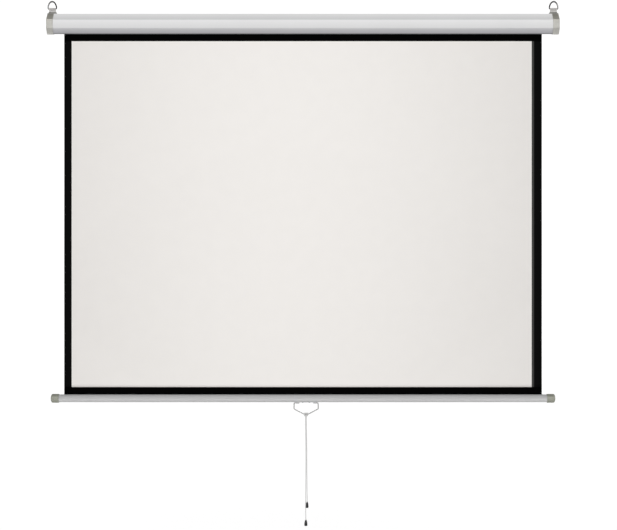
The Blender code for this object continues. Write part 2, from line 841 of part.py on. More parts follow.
# ---------------------------------------------------------------- bottom bar
slot_half = math.asin(1.5 * MM / BAR_R)
arc = []
for k in range(37):
    # from the front edge of the slot, down the front, round and up the back
    a = math.pi / 2 + slot_half + (2 * math.pi - 2 * slot_half) * k / 36
    arc.append((FABRIC_Y + BAR_R * math.cos(a), BAR_Z + BAR_R * math.sin(a)))
bar = folded_sheet(
    "bottom_bar", arc[::-1], -BAR_HALF, BAR_HALF, BAR_WALL, BAR_ALUMINIUM, bar_frame
)
turned(
    "hem_rod",
    solid_of(HEM_ROD_R, -880 * MM, 880 * MM),
    (0, FABRIC_Y, BAR_Z + BAR_R - 4.7 * MM),
    BUSH_NYLON,
    bar_frame,
    12,
)
for side, word in ((-1, "left"), (1, "right")):
    inner, outer = BAR_CAP_INNER_X, BAR_CAP_OUTER_X
    corner = 4.0 * MM
    profile = [(0, outer)]
    for k in range(4):
        a = math.radians(90 - 30 * k)
        profile.append(
            (BAR_CAP_R - corner + corner * math.cos(a), outer - corner + corner * math.sin(a))
        )
    profile += [
        (BAR_CAP_R, inner + 0.8 * MM),
        (BAR_CAP_R - 0.8 * MM, inner),
        (BAR_R + FIT, inner),
        (BAR_R + FIT, BAR_HALF + 0.5 * MM),
        (0, BAR_HALF + 0.5 * MM),
    ]
    cap = turned(
        f"bar_cap_{word}", profile, (0, FABRIC_Y, BAR_Z), BAR_CAP_PLASTIC, bar_frame, 28
    )
    if side < 0:
        cap.rotation_euler = (0, -math.pi / 2, 0)

# ---------------------------------------------------------------- handle
PLATE_T = 1.0 * MM
arc = []
for k in range(7):
    a = math.radians(-90 - 24 + 48 * k / 6)
    r = BAR_R + FIT + PLATE_T
    arc.append((FABRIC_Y + r * math.cos(a), BAR_Z + r * math.sin(a)))
inside = []
for k in range(7):
    a = math.radians(-90 + 24 - 48 * k / 6)
    r = BAR_R + FIT
    inside.append((FABRIC_Y + r * math.cos(a), BAR_Z + r * math.sin(a)))
plate = from_bmesh(
    "handle_plate",
    prism(arc + inside, HANDLE_X - 42.5 * MM, HANDLE_X + 42.5 * MM),
    BRACKET_STEEL,
    bar_frame,
)
for sign, word in ((-1, "left"), (1, "right")):
    low, high = sorted((HANDLE_X + sign * 25.2 * MM, HANDLE_X + sign * 41.8 * MM))
    knuckle = round_cutter(
        f"knuckle_{word}", 2.95 * MM, low, high, (FABRIC_Y, HANDLE_Z), steps=20
    )
    boolean(plate, knuckle, "UNION")
for sign, word in ((-1, "left"), (1, "right")):
    low, high = sorted((HANDLE_X + sign * 23.6 * MM, HANDLE_X + sign * 50.0 * MM))
    bore = round_cutter(
        f"knuckle_bore_{word}", 2.27 * MM, low, high, (FABRIC_Y, HANDLE_Z), steps=18
    )
    boolean(plate, bore)
for sign, word in ((-1, "left"), (1, "right")):
    place = (HANDLE_X + sign * 12.5 * MM, FABRIC_Y)
    boolean(
        plate,
        round_cutter(
            f"plate_screw_hole_{word}", 1.6 * MM, BAR_Z - 20 * MM, BAR_Z - 5 * MM, place, "Z", 12
        ),
    )
    boolean(
        bar,
        round_cutter(
            f"bar_screw_hole_{word}", 1.6 * MM, BAR_Z - 20 * MM, BAR_Z - 5 * MM, place, "Z", 12
        ),
    )
    head_z = BAR_Z - BAR_R - FIT - PLATE_T - FIT
    turned(
        f"handle_screw_{word}",
        [
            (0, 7.0 * MM),
            (0.7 * MM, 7.0 * MM),
            (1.3 * MM, 6.0 * MM),
            (1.3 * MM, 0),
            (2.7 * MM, 0),
            (2.7 * MM, -0.5 * MM),
            (1.9 * MM, -1.4 * MM),
            (0, -1.4 * MM),
        ],
        (*place, head_z),
        PLATED_STEEL,
        bar_frame,
        14,
        axis="Z",
    )

bail = rounded(
    [
        (-26.4 * MM, 0.0),
        (-HANDLE_HALF, 0.0),
        (-HANDLE_HALF, HANDLE_SHOULDER),
        (-HANDLE_FOOT, HANDLE_DROP),
        (HANDLE_FOOT, HANDLE_DROP),
        (HANDLE_HALF, HANDLE_SHOULDER),
        (HANDLE_HALF, 0.0),
        (26.4 * MM, 0.0),
    ],
    2.6 * MM,
    4,
    closed=False,
)
wire(
    "pull_handle",
    [(HANDLE_X + u, FABRIC_Y, HANDLE_Z + v) for u, v in bail],
    HANDLE_WIRE_R,
    HANDLE_WIRE,
    handle_axis,
)

# ---------------------------------------------------------------- hitch, cords and tassels
FOOT_Z = HANDLE_Z + HANDLE_DROP
hitch = turned(
    "cord_hitch",
    ring_of(4.9 * MM, 2.35 * MM, -8.4 * MM, 8.4 * MM),
    (HANDLE_X, FABRIC_Y, FOOT_Z),
    WHITE_CORD,
    cord_axis,
    24,
)
wedge = bmesh.new()
corners = [
    (-8.2 * MM, -3.6 * MM),
    (8.2 * MM, -3.6 * MM),
    (3.6 * MM, HITCH_BOTTOM_Z - FOOT_Z),
    (-4.4 * MM, HITCH_BOTTOM_Z - FOOT_Z),
]
face = wedge.faces.new(
    [wedge.verts.new((HANDLE_X + u, FABRIC_Y - 2.0 * MM, FOOT_Z + v)) for u, v in corners]
)
out = bmesh.ops.extrude_face_region(wedge, geom=[face])
bmesh.ops.translate(
    wedge,
    verts=[g for g in out["geom"] if isinstance(g, bmesh.types.BMVert)],
    vec=(0, 4.0 * MM, 0),
)
boolean(hitch, helper(wedge, "hitch_wedge"), "UNION")

START_Z = HITCH_BOTTOM_Z - FIT
LONG_ROUTE = [
    (9.3 * MM, -48.2 * MM, START_Z),
    (9.3 * MM, -48.2 * MM, -1490 * MM),
    (9.9 * MM, -47.6 * MM, -1560 * MM),
    (10.2 * MM, -47.4 * MM, -1640 * MM),
    (10.0 * MM, -46.6 * MM, -1720 * MM),
    (10.1 * MM, -46.2 * MM, -1790 * MM),
    (10.9 * MM, -47.4 * MM, LONG_TASSEL_TOP_Z + FIT),
]
SHORT_ROUTE = [
    (13.1 * MM, -48.2 * MM, START_Z),
    (13.2 * MM, -48.4 * MM, -1490 * MM),
    (14.7 * MM, -48.8 * MM, -1560 * MM),
    (15.3 * MM, -49.4 * MM, -1640 * MM),
    (15.3 * MM, -50.2 * MM, -1710 * MM),
    (15.8 * MM, -50.6 * MM, SHORT_TASSEL_TOP_Z + FIT),
]
wire("cord_long", smooth_route(LONG_ROUTE, 44), CORD_R, WHITE_CORD, cord_axis)
wire("cord_short", smooth_route(SHORT_ROUTE, 36), CORD_R, WHITE_CORD, cord_axis)


def tassel(name, top, radius):
    """A bell-shaped moulded end, narrow at the cord and full at the bottom."""
    shape = [
        (0.0, 0.0),
        (0.40, 0.0),
        (0.50, 0.05),
        (0.56, 0.20),
        (0.72, 0.42),
        (0.88, 0.62),
        (0.98, 0.80),
        (1.0, 0.90),
        (0.93, 0.97),
        (0.80, 1.0),
        (0.0, 1.0),
    ]
    turned(
        name,
        [(radius * r, -TASSEL_H * t) for r, t in shape],
        top,
        BLACK_PLASTIC,
        cord_axis,
        16,
        axis="Z",
    )


tassel("tassel_long", (LONG_ROUTE[-1][0], LONG_ROUTE[-1][1], LONG_TASSEL_TOP_Z), 5.1 * MM)
tassel("tassel_short", (SHORT_ROUTE[-1][0], SHORT_ROUTE[-1][1], SHORT_TASSEL_TOP_Z), 4.8 * MM)
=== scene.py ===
"""The looks of a pull-down projector screen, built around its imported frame.

Metres, +Z up, +X to the right as seen from the front, the wall at y = 0.
"""

import json
import math

import bmesh
import bpy
import numpy as np
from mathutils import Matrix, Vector


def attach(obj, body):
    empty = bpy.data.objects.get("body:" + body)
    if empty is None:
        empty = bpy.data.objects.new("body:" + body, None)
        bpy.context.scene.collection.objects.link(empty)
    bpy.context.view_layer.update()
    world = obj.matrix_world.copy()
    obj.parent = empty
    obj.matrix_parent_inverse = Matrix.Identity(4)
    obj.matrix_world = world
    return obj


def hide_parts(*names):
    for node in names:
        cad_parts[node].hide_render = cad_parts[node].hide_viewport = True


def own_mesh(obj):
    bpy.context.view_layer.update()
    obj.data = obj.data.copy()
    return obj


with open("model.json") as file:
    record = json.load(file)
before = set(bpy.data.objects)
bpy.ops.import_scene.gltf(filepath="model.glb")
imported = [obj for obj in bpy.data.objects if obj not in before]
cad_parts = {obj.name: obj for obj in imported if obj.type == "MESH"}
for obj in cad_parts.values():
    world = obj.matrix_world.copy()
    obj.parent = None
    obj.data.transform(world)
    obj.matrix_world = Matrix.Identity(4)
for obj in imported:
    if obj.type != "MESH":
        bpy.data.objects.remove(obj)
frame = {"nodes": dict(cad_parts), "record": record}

MM = 0.001
NODES = frame["nodes"]
scene = bpy.context.scene
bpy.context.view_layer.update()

# ---------------------------------------------------------------- sizes shared with the frame
FABRIC_Y = -48.0 * MM
FABRIC_LEFT, FABRIC_RIGHT = -885.1 * MM, 885.7 * MM
FABRIC_TOP_Z = -2.0 * MM
WHITE_LEFT, WHITE_RIGHT = -857.5 * MM, 848.2 * MM
GREY_RIGHT = 856.7 * MM  # a narrow grey stripe lies between the white and the right border
WHITE_TOP_Z, WHITE_FOOT_Z = -64.8 * MM, -1346.9 * MM
BAR_Z, BAR_R, BAR_HALF = -1388.6 * MM, 14.5 * MM, 929.8 * MM
BAR_CAP_R, BAR_CAP_INNER_X = 16.5 * MM, 903.6 * MM
BAR_CAP_ENDS = {"left": 934.6 * MM, "right": 935.2 * MM}
FABRIC_FOOT_Z = BAR_Z + BAR_R - 1.9 * MM

RING_X, RING_Y, RING_Z = 930.5 * MM, -40.0 * MM, 56.3 * MM
RING_HALF_WIDTH, RING_HEIGHT = 15.75 * MM, 27.25 * MM
RING_WIRE_R, RING_CROWN = 2.5 * MM, 0.35 * MM
RING_TILT = math.radians(3.0)
PIVOT_R = 1.9 * MM  # both wires' radius where they turn in their seats

HANDLE_X, HANDLE_Z = 11.8 * MM, BAR_Z - BAR_R - 3.5 * MM
HANDLE_WIRE_R, HANDLE_HALF = 2.2 * MM, 44.7 * MM
HANDLE_SHOULDER, HANDLE_DROP, HANDLE_FOOT = -21.5 * MM, -39.8 * MM, 9.9 * MM
FOOT_Z = HANDLE_Z + HANDLE_DROP

CORD_R = 1.5 * MM
STRANDS, BRAID_RISE = 6, 0.35
HITCH_BOTTOM_Z = FOOT_Z - 11.2 * MM
LONG_TASSEL_TOP_Z, SHORT_TASSEL_TOP_Z = -1839.4 * MM, -1771.9 * MM
TASSEL_H = 22.2 * MM  # from the collar's top to the rim
FIT = 0.3 * MM

# ---------------------------------------------------------------- camera
camera_data = bpy.data.cameras.new("photo_camera")
camera_data.lens = 78.68
camera_data.sensor_width = 36.0
camera_data.clip_start, camera_data.clip_end = 0.1, 600.0
camera = bpy.data.objects.new("photo_camera", camera_data)
camera.location = (0.0206, -5.048, -0.8944)
camera.rotation_euler = (math.pi / 2, 0, 0)
scene.collection.objects.link(camera)
scene.camera = camera


# ---------------------------------------------------------------- routes and meshes
def smooth_route(knots, count):
    """Points evenly numbered along a Catmull-Rom curve through the knots."""
    pts = [Vector(k) for k in knots]
    pts = [2 * pts[0] - pts[1], *pts, 2 * pts[-1] - pts[-2]]
    spans, out = len(pts) - 3, []
    for n in range(count):
        at = n / (count - 1) * spans
        i = min(int(at), spans - 1)
        t = at - i
        a, b, c, d = pts[i : i + 4]
        out.append(
            0.5
            * (
                2 * b
                + (c - a) * t
                + (2 * a - 5 * b + 4 * c - d) * t * t
                + (3 * b - a - 3 * c + d) * t**3
            )
        )
    return out


def evenly(points, step, closed=False):
    """The same line with points a fixed step apart, as an array."""
    p = np.array([tuple(q) for q in points], float)
    if closed:
        p = np.vstack([p, p[:1]])
    along = np.concatenate([[0], np.cumsum(np.linalg.norm(np.diff(p, axis=0), axis=1))])
    count = max(3, int(round(along[-1] / step)) + 1)
    at = np.linspace(0, along[-1], count)
    out = np.stack([np.interp(at, along, p[:, k]) for k in range(3)], axis=1)
    return (out[:-1] if closed else out), along[-1]


def rounded(points, radius, segments):
    """An open flat line with each inner corner turned into an arc."""
    out = []
    for i, here in enumerate(points):
        if i in (0, len(points) - 1):
            out.append(here)
            continue
        p = Vector(here)
        before = (Vector(points[i - 1]) - p).normalized()
        after = (Vector(points[i + 1]) - p).normalized()
        between = before.angle(after)
        reach = radius / math.tan(between / 2)
        middle = p + (before + after).normalized() * (radius / math.sin(between / 2))
        arm = p + before * reach - middle
        turn = (math.pi - between) * (-1 if before.cross(after) > 0 else 1)
        for k in range(segments + 1):
            a = turn * k / segments
            out.append(
                (
                    middle.x + arm.x * math.cos(a) - arm.y * math.sin(a),
                    middle.y + arm.x * math.sin(a) + arm.y * math.cos(a),
                )
            )
    return out


def frames_along(line, closed=False, up=(0.0, 1.0, 0.0)):
    """Tangents and two side vectors for each point, turning as little as they can."""
    ahead = np.roll(line, -1, axis=0) - line
    behind = line - np.roll(line, 1, axis=0)
    if not closed:
        ahead[-1], behind[0] = behind[-1], ahead[0]
    t = ahead / np.linalg.norm(ahead, axis=1)[:, None] + behind / np.linalg.norm(behind, axis=1)[:, None]
    t /= np.linalg.norm(t, axis=1)[:, None]
    n = np.zeros_like(t)
    first = np.array(up, float)
    if abs(first @ t[0]) > 0.95:
        first = np.array((1.0, 0.0, 0.0))
    n[0] = first - (first @ t[0]) * t[0]
    n[0] /= np.linalg.norm(n[0])
    for i in range(1, len(line)):
        v = n[i - 1] - (n[i - 1] @ t[i]) * t[i]
        n[i] = v / np.linalg.norm(v)
    return t, n, np.cross(t, n)


def mesh_object(name, points, faces, smooth=True, crease=None):
    mesh = bpy.data.meshes.new(name)
    mesh.from_pydata([tuple(p) for p in points], [], [tuple(f) for f in faces])
    mesh.validate()
    mesh.update()
    obj = bpy.data.objects.new(name, mesh)
    scene.collection.objects.link(obj)
    if smooth:
        mesh.polygons.foreach_set("use_smooth", [True] * len(mesh.polygons))
        if crease is not None:
            mesh.set_sharp_from_angle(angle=math.radians(crease))
    return obj


def tube(line, radius, sides=16, closed=False, relief=None, dome=True, up=(0.0, 1.0, 0.0)):
    """(points, faces) of a round tube along a line. relief(angle, distance) gives the radius where it varies."""
    line = np.array(line, float)
    t, n, b = frames_along(line, closed, up)
    along = np.concatenate([[0], np.cumsum(np.linalg.norm(np.diff(line, axis=0), axis=1))])
    angle = 2 * math.pi * np.arange(sides) / sides
    rings = []
    for i in range(len(line)):
        r = radius if relief is None else relief(angle, along[i])
        r = np.broadcast_to(r, (sides,))[:, None]
        rings.append(line[i] + r * (np.cos(angle)[:, None] * n[i] + np.sin(angle)[:, None] * b[i]))
    faces, count = [], len(line)
    for i in range(count if closed else count - 1):
        j = (i + 1) % count
        for k in range(sides):
            m = (k + 1) % sides
            faces.append((i * sides + k, i * sides + m, j * sides + m, j * sides + k))
    points = [p for ring in rings for p in ring]
    if not closed:
        for end, sign in ((0, -1), (count - 1, 1)):
            last = end * sides
            if dome:
                for step in (0.55, 0.85):
                    centre = line[end] + sign * t[end] * radius * 0.55 * math.sin(step * math.pi / 2)
                    shrink = math.cos(step * math.pi / 2)
                    base = len(points)
                    points += [centre + (rings[end][k] - line[end]) * shrink for k in range(sides)]
                    for k in range(sides):
                        m = (k + 1) % sides
                        quad = (last + k, last + m, base + m, base + k)
                        faces.append(quad if sign > 0 else quad[::-1])
                    last = base
            cap = tuple(last + k for k in range(sides))
            faces.append(cap if sign > 0 else cap[::-1])
    return points, faces


def joined(parts):
    """Several (points, faces) as one."""
    points, faces = [], []
    for p, f in parts:
        base = len(points)
        points += list(p)
        faces += [tuple(base + i for i in face) for face in f]
    return points, faces


def lathe(profile, steps, centre, axis="Z"):
    """(points, faces) of a profile of (radius, height) pairs turned round an axis; the ends at radius 0 are single points."""
    points, faces, rows = [], [], []
    for r, h in profile:
        if r < 1e-9:
            rows.append([len(points)])
            points.append((0.0, 0.0, h))
        else:
            rows.append(list(range(len(points), len(points) + steps)))
            points += [
                (r * math.cos(2 * math.pi * k / steps), r * math.sin(2 * math.pi * k / steps), h)
                for k in range(steps)
            ]
    for a, b in zip(rows, rows[1:]):
        for k in range(steps):
            m = (k + 1) % steps
            if len(a) == 1 and len(b) > 1:
                faces.append((a[0], b[k], b[m]))
            elif len(b) == 1 and len(a) > 1:
                faces.append((a[k], b[0], a[m]))
            elif len(a) > 1 and len(b) > 1:
                faces.append((a[k], b[k], b[m], a[m]))
    if axis == "X":
        points = [(z, x, y) for x, y, z in points]
    return [(x + centre[0], y + centre[1], z + centre[2]) for x, y, z in points], faces


def outward(obj):
    """Turns every face of a closed mesh outwards."""
    bm = bmesh.new()
    bm.from_mesh(obj.data)
    bmesh.ops.recalc_face_normals(bm, faces=bm.faces)
    bm.to_mesh(obj.data)
    bm.free()
    return obj


# ---------------------------------------------------------------- materials
class Finish:
    """One material: a Principled shader and the few nodes that this script puts before it."""

    def __init__(self, name, colour, roughness, metallic=0.0, specular=0.5):
        self.material = bpy.data.materials.new(name)
        self.material.use_nodes = True
        self.tree = self.material.node_tree
        self.tree.nodes.clear()
        self.out = self.node("ShaderNodeOutputMaterial")
        self.shader = self.node("ShaderNodeBsdfPrincipled")
        self.link(self.shader.outputs["BSDF"], self.out.inputs["Surface"])
        self.set("Base Color", (*colour, 1.0))
        self.set("Roughness", roughness)
        self.set("Metallic", metallic)
        self.set("Specular IOR Level", specular)
        self.material.diffuse_color = (*colour, 1.0)
        self.colour = colour

    def node(self, kind, **settings):
        made = self.tree.nodes.new(kind)
        for key, value in settings.items():
            setattr(made, key, value)
        return made

    def link(self, a, b):
        self.tree.links.new(a, b)

    def set(self, socket, value):
        self.shader.inputs[socket].default_value = value
        return self

    def feed(self, socket, source):
        self.link(source, self.shader.inputs[socket])
        return self

    def place(self, stretch=(1, 1, 1), kind="Object"):
        where = self.node("ShaderNodeTexCoord")
        if tuple(stretch) == (1, 1, 1):
            return where.outputs[kind]
        turned = self.node("ShaderNodeMapping")
        turned.inputs["Scale"].default_value = stretch
        self.link(where.outputs[kind], turned.inputs["Vector"])
        return turned.outputs["Vector"]

    def noise(self, size_mm, detail=3.0, roughness=0.5, stretch=(1, 1, 1), source=None):
        """A noise whose blobs are about this size."""
        made = self.node("ShaderNodeTexNoise")
        made.inputs["Scale"].default_value = 1000.0 / size_mm
        made.inputs["Detail"].default_value = detail
        made.inputs["Roughness"].default_value = roughness
        self.link(source or self.place(stretch), made.inputs["Vector"])
        return made.outputs["Fac"]

    def cells(self, size_mm, feature="F1", stretch=(1, 1, 1), output="Distance"):
        made = self.node("ShaderNodeTexVoronoi", feature=feature)
        made.inputs["Scale"].default_value = 1000.0 / size_mm
        self.link(self.place(stretch), made.inputs["Vector"])
        return made.outputs[output]

    def ramp(self, source, *stops):
        """A colour ramp with (place, colour or grey) stops."""
        made = self.node("ShaderNodeValToRGB")
        table = made.color_ramp.elements
        while len(table) < len(stops):
            table.new(0.5)
        for element, (at, colour) in zip(table, stops):
            element.position = at
            element.color = (
                (colour, colour, colour, 1.0) if isinstance(colour, (int, float)) else (*colour, 1.0)
            )
        self.link(source, made.inputs["Fac"])
        return made.outputs["Color"]

    def span(self, source, low, high, to_low=0.0, to_high=1.0, smooth=False):
        made = self.node("ShaderNodeMapRange")
        made.interpolation_type = "SMOOTHSTEP" if smooth else "LINEAR"
        for key, value in (("From Min", low), ("From Max", high), ("To Min", to_low), ("To Max", to_high)):
            made.inputs[key].default_value = value
        self.link(source, made.inputs["Value"])
        return made.outputs["Result"]

    def sum(self, a, b, operation="ADD"):
        made = self.node("ShaderNodeMath", operation=operation)
        for i, value in enumerate((a, b)):
            if isinstance(value, (int, float)):
                made.inputs[i].default_value = value
            else:
                self.link(value, made.inputs[i])
        return made.outputs["Value"]

    def mix(self, fac, a, b, blend="MIX"):
        made = self.node("ShaderNodeMix", data_type="RGBA", blend_type=blend)
        if isinstance(fac, (int, float)):
            made.inputs[0].default_value = fac
        else:
            self.link(fac, made.inputs[0])
        for socket, value in ((made.inputs[6], a), (made.inputs[7], b)):
            if isinstance(value, (int, float)):
                socket.default_value = (value, value, value, 1.0)
            elif isinstance(value, tuple):
                socket.default_value = (*value, 1.0)
            else:
                self.link(value, socket)
        return made.outputs[2]

    def axis(self, letter, source=None):
        made = self.node("ShaderNodeSeparateXYZ")
        self.link(source or self.place(), made.inputs["Vector"])
        return made.outputs[letter]

    def bump(self, height, depth_mm, after=None):
        made = self.node("ShaderNodeBump")
        made.inputs["Strength"].default_value = 1.0
        made.inputs["Distance"].default_value = depth_mm * MM
        self.link(height, made.inputs["Height"])
        if after is not None:
            self.link(after, made.inputs["Normal"])
        self.link(made.outputs["Normal"], self.shader.inputs["Normal"])
        return made.outputs["Normal"]

    def shade(self, spread, size_mm, **how):
        """The colour with a slow variation of brightness."""
        c = self.colour
        fac = self.noise(size_mm, **how)
        low = tuple(min(1.0, x * (1 - spread)) for x in c)
        high = tuple(min(1.0, x * (1 + spread)) for x in c)
        out = self.ramp(fac, (0.3, low), (0.7, high))
        self.feed("Base Color", out)
        return out

    def grain(self, tone, spread, size_mm, **how):
        """The tone with a fine even speckle in it."""
        speck = self.ramp(self.noise(size_mm, **how), (0.32, 1 - spread), (0.68, 1 + spread))
        out = self.mix(1.0, tone, speck, blend="MULTIPLY")
        self.feed("Base Color", out)
        return out

    def rough(self, low, high, size_mm, **how):
        self.feed("Roughness", self.span(self.noise(size_mm, **how), 0.3, 0.7, low, high))


def steel(
    name, colour, roughness, grain=(1, 1, 1), grain_mm=0.6, spread=0.06, depth=0.006, metallic=1.0, painted_shade_by_height=None
):
    """Plated steel: a fine drawn grain, faint stains and slightly uneven gloss. The last argument, if given, holds
    (low, high, stops) of a painted shade by height.
    """
    f = Finish(name, colour, roughness, metallic=metallic)
    tone = f.shade(spread, 14.0, detail=4.0)
    if painted_shade_by_height is not None:
        painted_shading = f.ramp(f.span(f.axis("Z"), painted_shade_by_height[0], painted_shade_by_height[1]), *painted_shade_by_height[2])
        f.feed("Base Color", f.mix(1.0, tone, painted_shading, blend="MULTIPLY"))
    f.rough(roughness * 0.8, roughness * 1.25, 5.0, detail=4.0)
    f.bump(f.noise(grain_mm, detail=4.0, stretch=grain), depth)
    return f.material


# powder-coated casing: satin, with a fine orange peel
f = Finish("casing_paint", (0.86, 0.86, 0.863), 0.40)
tone = f.shade(0.012, 160.0, detail=2.0)
# painted shade: each facet greys towards its lower edge, and a painted shadow darkens the lip at the foot
painted_shading = f.ramp(
    f.span(f.axis("Z"), -42 * MM, 40 * MM),
    (0.025, 0.14),
    (0.08, (0.68, 0.675, 0.71)),
    (0.25, (0.865, 0.86, 0.88)),
    (0.275, 0.885),
    (0.632, 0.99),
    (0.652, 0.81),
    (0.87, 0.985),
    (0.96, 1.03),
)
f.grain(f.mix(1.0, tone, painted_shading, blend="MULTIPLY"), 0.018, 1.1, detail=3.0)
f.rough(0.33, 0.40, 9.0, detail=4.0)
peel = f.sum(f.noise(2.2, detail=2.0), f.sum(f.noise(0.5, detail=2.0), 0.25, "MULTIPLY"))
f.bump(peel, 0.022)
f.set("Coat Weight", 0.12)
f.set("Coat Roughness", 0.22)
CASING_PAINT = f.material

# moulded caps in a silver-grey finish
f = Finish("cap_plastic", (0.475, 0.467, 0.435), 0.43, metallic=0.6)
tone = f.shade(0.03, 26.0, detail=3.0)
# painted shade: the caps are darker and warmer towards the top and lighter at the foot, with a painted shadow on the
# pad under the strap
painted_cap_shade = f.ramp(
    f.span(f.axis("Z"), -42 * MM, 46 * MM),
    (0.02, 1.36),
    (0.10, 1.12),
    (0.31, 1.055),
    (0.50, 0.93),
    (0.68, (0.95, 0.94, 0.90)),
    (0.855, (0.81, 0.795, 0.75)),
    (0.914, 1.0),
    (0.926, 0.45),
)
f.grain(f.mix(1.0, tone, painted_cap_shade, blend="MULTIPLY"), 0.07, 0.9, detail=3.0)
f.rough(0.40, 0.50, 3.0, detail=4.0)
# a spark-eroded mould leaves fine pits
pits = f.sum(f.cells(0.9, feature="SMOOTH_F1"), f.sum(f.noise(0.45, detail=2.0), 0.5, "MULTIPLY"))
f.bump(pits, 0.045)
CAP_PLASTIC = f.material

STRAP_STEEL = steel(
    "strap_steel",
    (0.88, 0.858, 0.838),
    0.54,
    grain=(0.06, 1, 1),
    grain_mm=0.5,
    metallic=0.15,
    # painted shade: the strap is darker over the top of its curl and a little at its foot
    painted_shade_by_height=(44 * MM, 61 * MM, [(0.10, 0.80), (0.25, 0.85), (0.40, 1.0), (0.50, 0.98), (0.62, 0.84), (0.75, 0.66), (0.9, 0.56)]),
)

# darkened ring wire, with painted light on each ring's outer side and painted shade on its inner side
f = Finish("ring_steel", (0.115, 0.114, 0.112), 0.24, metallic=1.0)
tone = f.shade(0.06, 14.0, detail=4.0)
painted_shading = f.ramp(
    f.span(f.sum(f.axis("X"), 0.0, "ABSOLUTE"), 918 * MM, 944 * MM), (0.0, 0.30), (0.3, 0.55), (0.6, 0.95), (1.0, 2.1)
)
f.feed("Base Color", f.mix(1.0, tone, painted_shading, blend="MULTIPLY"))
f.rough(0.19, 0.30, 5.0, detail=4.0)
f.bump(f.noise(0.9, detail=4.0), 0.003)
RING_STEEL = f.material
PLATED_STEEL = steel("plated_steel", (0.66, 0.67, 0.69), 0.22, grain_mm=0.7)
BRACKET_STEEL = steel("bracket_steel", (0.58, 0.59, 0.60), 0.36, grain=(1, 1, 0.2))
HANDLE_STEEL = steel("handle_steel", (0.62, 0.62, 0.62), 0.42, grain=(0.08, 1, 1), grain_mm=0.5, metallic=0.6)
HANDLE_WIRE = steel("handle_wire", (0.44, 0.44, 0.435), 0.24, grain_mm=0.9, depth=0.003)
SPRING_STEEL = steel("spring_steel", (0.20, 0.20, 0.205), 0.30, spread=0.15)
ROLLER_ALUMINIUM = steel("roller_aluminium", (0.78, 0.78, 0.79), 0.38, grain=(0.01, 1, 1), grain_mm=0.6)

# zinc die castings: a grainy skin
f = Finish("zinc_casting", (0.50, 0.51, 0.53), 0.42, metallic=1.0)
f.shade(0.10, 4.0, detail=5.0)
f.rough(0.36, 0.52, 1.6, detail=4.0)
f.bump(f.noise(0.7, detail=4.0), 0.03)
ZINC = f.material

f = Finish("plug_nylon", (0.030, 0.030, 0.033), 0.42)
f.shade(0.12, 6.0, detail=4.0)
f.bump(f.noise(0.6, detail=3.0), 0.015)
PLUG_NYLON = f.material

f = Finish("bush_nylon", (0.78, 0.76, 0.69), 0.38)
f.shade(0.03, 5.0, detail=3.0)
f.bump(f.noise(0.8, detail=2.0), 0.008)
f.set("Subsurface Weight", 0.08)
f.set("Subsurface Radius", (0.002, 0.002, 0.0016))
f.set("Subsurface Scale", 0.5)
BUSH_NYLON = f.material

# weight bar: satin extruded aluminium with fine draw lines
f = Finish("bar_aluminium", (0.53, 0.53, 0.53), 0.55, metallic=0.2)
tone = f.shade(0.03, 2.2, detail=4.0, stretch=(0.004, 1, 1))
# painted shade: the bar is darker over its upper half, most just above its middle
painted_shading = f.ramp(
    f.span(f.axis("Z"), BAR_Z - BAR_R, BAR_Z + BAR_R),
    (0.0, 1.0),
    (0.12, 0.99),
    (0.37, 0.90),
    (0.50, 0.85),
    (0.63, 0.73),
    (0.76, 0.86),
    (0.90, 0.92),
)
f.grain(f.mix(1.0, tone, painted_shading, blend="MULTIPLY"), 0.06, 0.55, detail=3.0, stretch=(0.006, 1, 1))
f.rough(0.44, 0.53, 1.0, detail=3.0, stretch=(0.004, 1, 1))
f.bump(f.noise(0.7, detail=3.0, stretch=(0.003, 1, 1)), 0.018)
BAR_ALUMINIUM = f.material

f = Finish("bar_cap_plastic", (0.292, 0.298, 0.246), 0.42)
tone = f.shade(0.04, 7.0, detail=4.0)
# painted shade: the caps are darker towards their top and bottom and lightest just above their middle
painted_shading = f.ramp(
    f.span(f.axis("Z"), BAR_Z - BAR_CAP_R, BAR_Z + BAR_CAP_R),
    (0.10, 0.84),
    (0.28, 0.79),
    (0.42, 0.88),
    (0.58, 0.96),
    (0.72, 0.93),
    (0.84, 0.79),
    (0.95, 0.76),
)
f.grain(f.mix(1.0, tone, painted_shading, blend="MULTIPLY"), 0.07, 0.8, detail=3.0)
f.rough(0.36, 0.46, 2.0, detail=3.0)
f.bump(f.sum(f.cells(0.8, feature="SMOOTH_F1"), f.sum(f.noise(0.4, detail=2.0), 0.5, "MULTIPLY")), 0.035)
BAR_CAP_PLASTIC = f.material

f = Finish("black_plastic", (0.012, 0.012, 0.013), 0.30, specular=0.5)
f.shade(0.20, 5.0, detail=3.0)
f.rough(0.26, 0.36, 3.0, detail=3.0)
f.bump(f.noise(0.9, detail=3.0), 0.010)
BLACK_PLASTIC = f.material

# braided polyester cord: off-white yarn, with painted shade in the grooves between the strands
# Its UV map holds turns round the cord and crossings along it.
f = Finish("white_cord", (0.80, 0.80, 0.79), 0.72, specular=0.35)
uv = f.node("ShaderNodeUVMap", uv_map="braid").outputs["UV"]
round_it = f.sum(f.axis("X", uv), 2 * math.pi * STRANDS / 2, "MULTIPLY")
along_it = f.sum(f.axis("Y", uv), 2 * math.pi, "MULTIPLY")
one, other = f.sum(round_it, along_it, "SUBTRACT"), f.sum(round_it, along_it)


def waves(angle, times=1.0):
    return f.sum(f.sum(f.sum(angle, times, "MULTIPLY"), 0.0, "SINE"), 0.0, "ABSOLUTE")


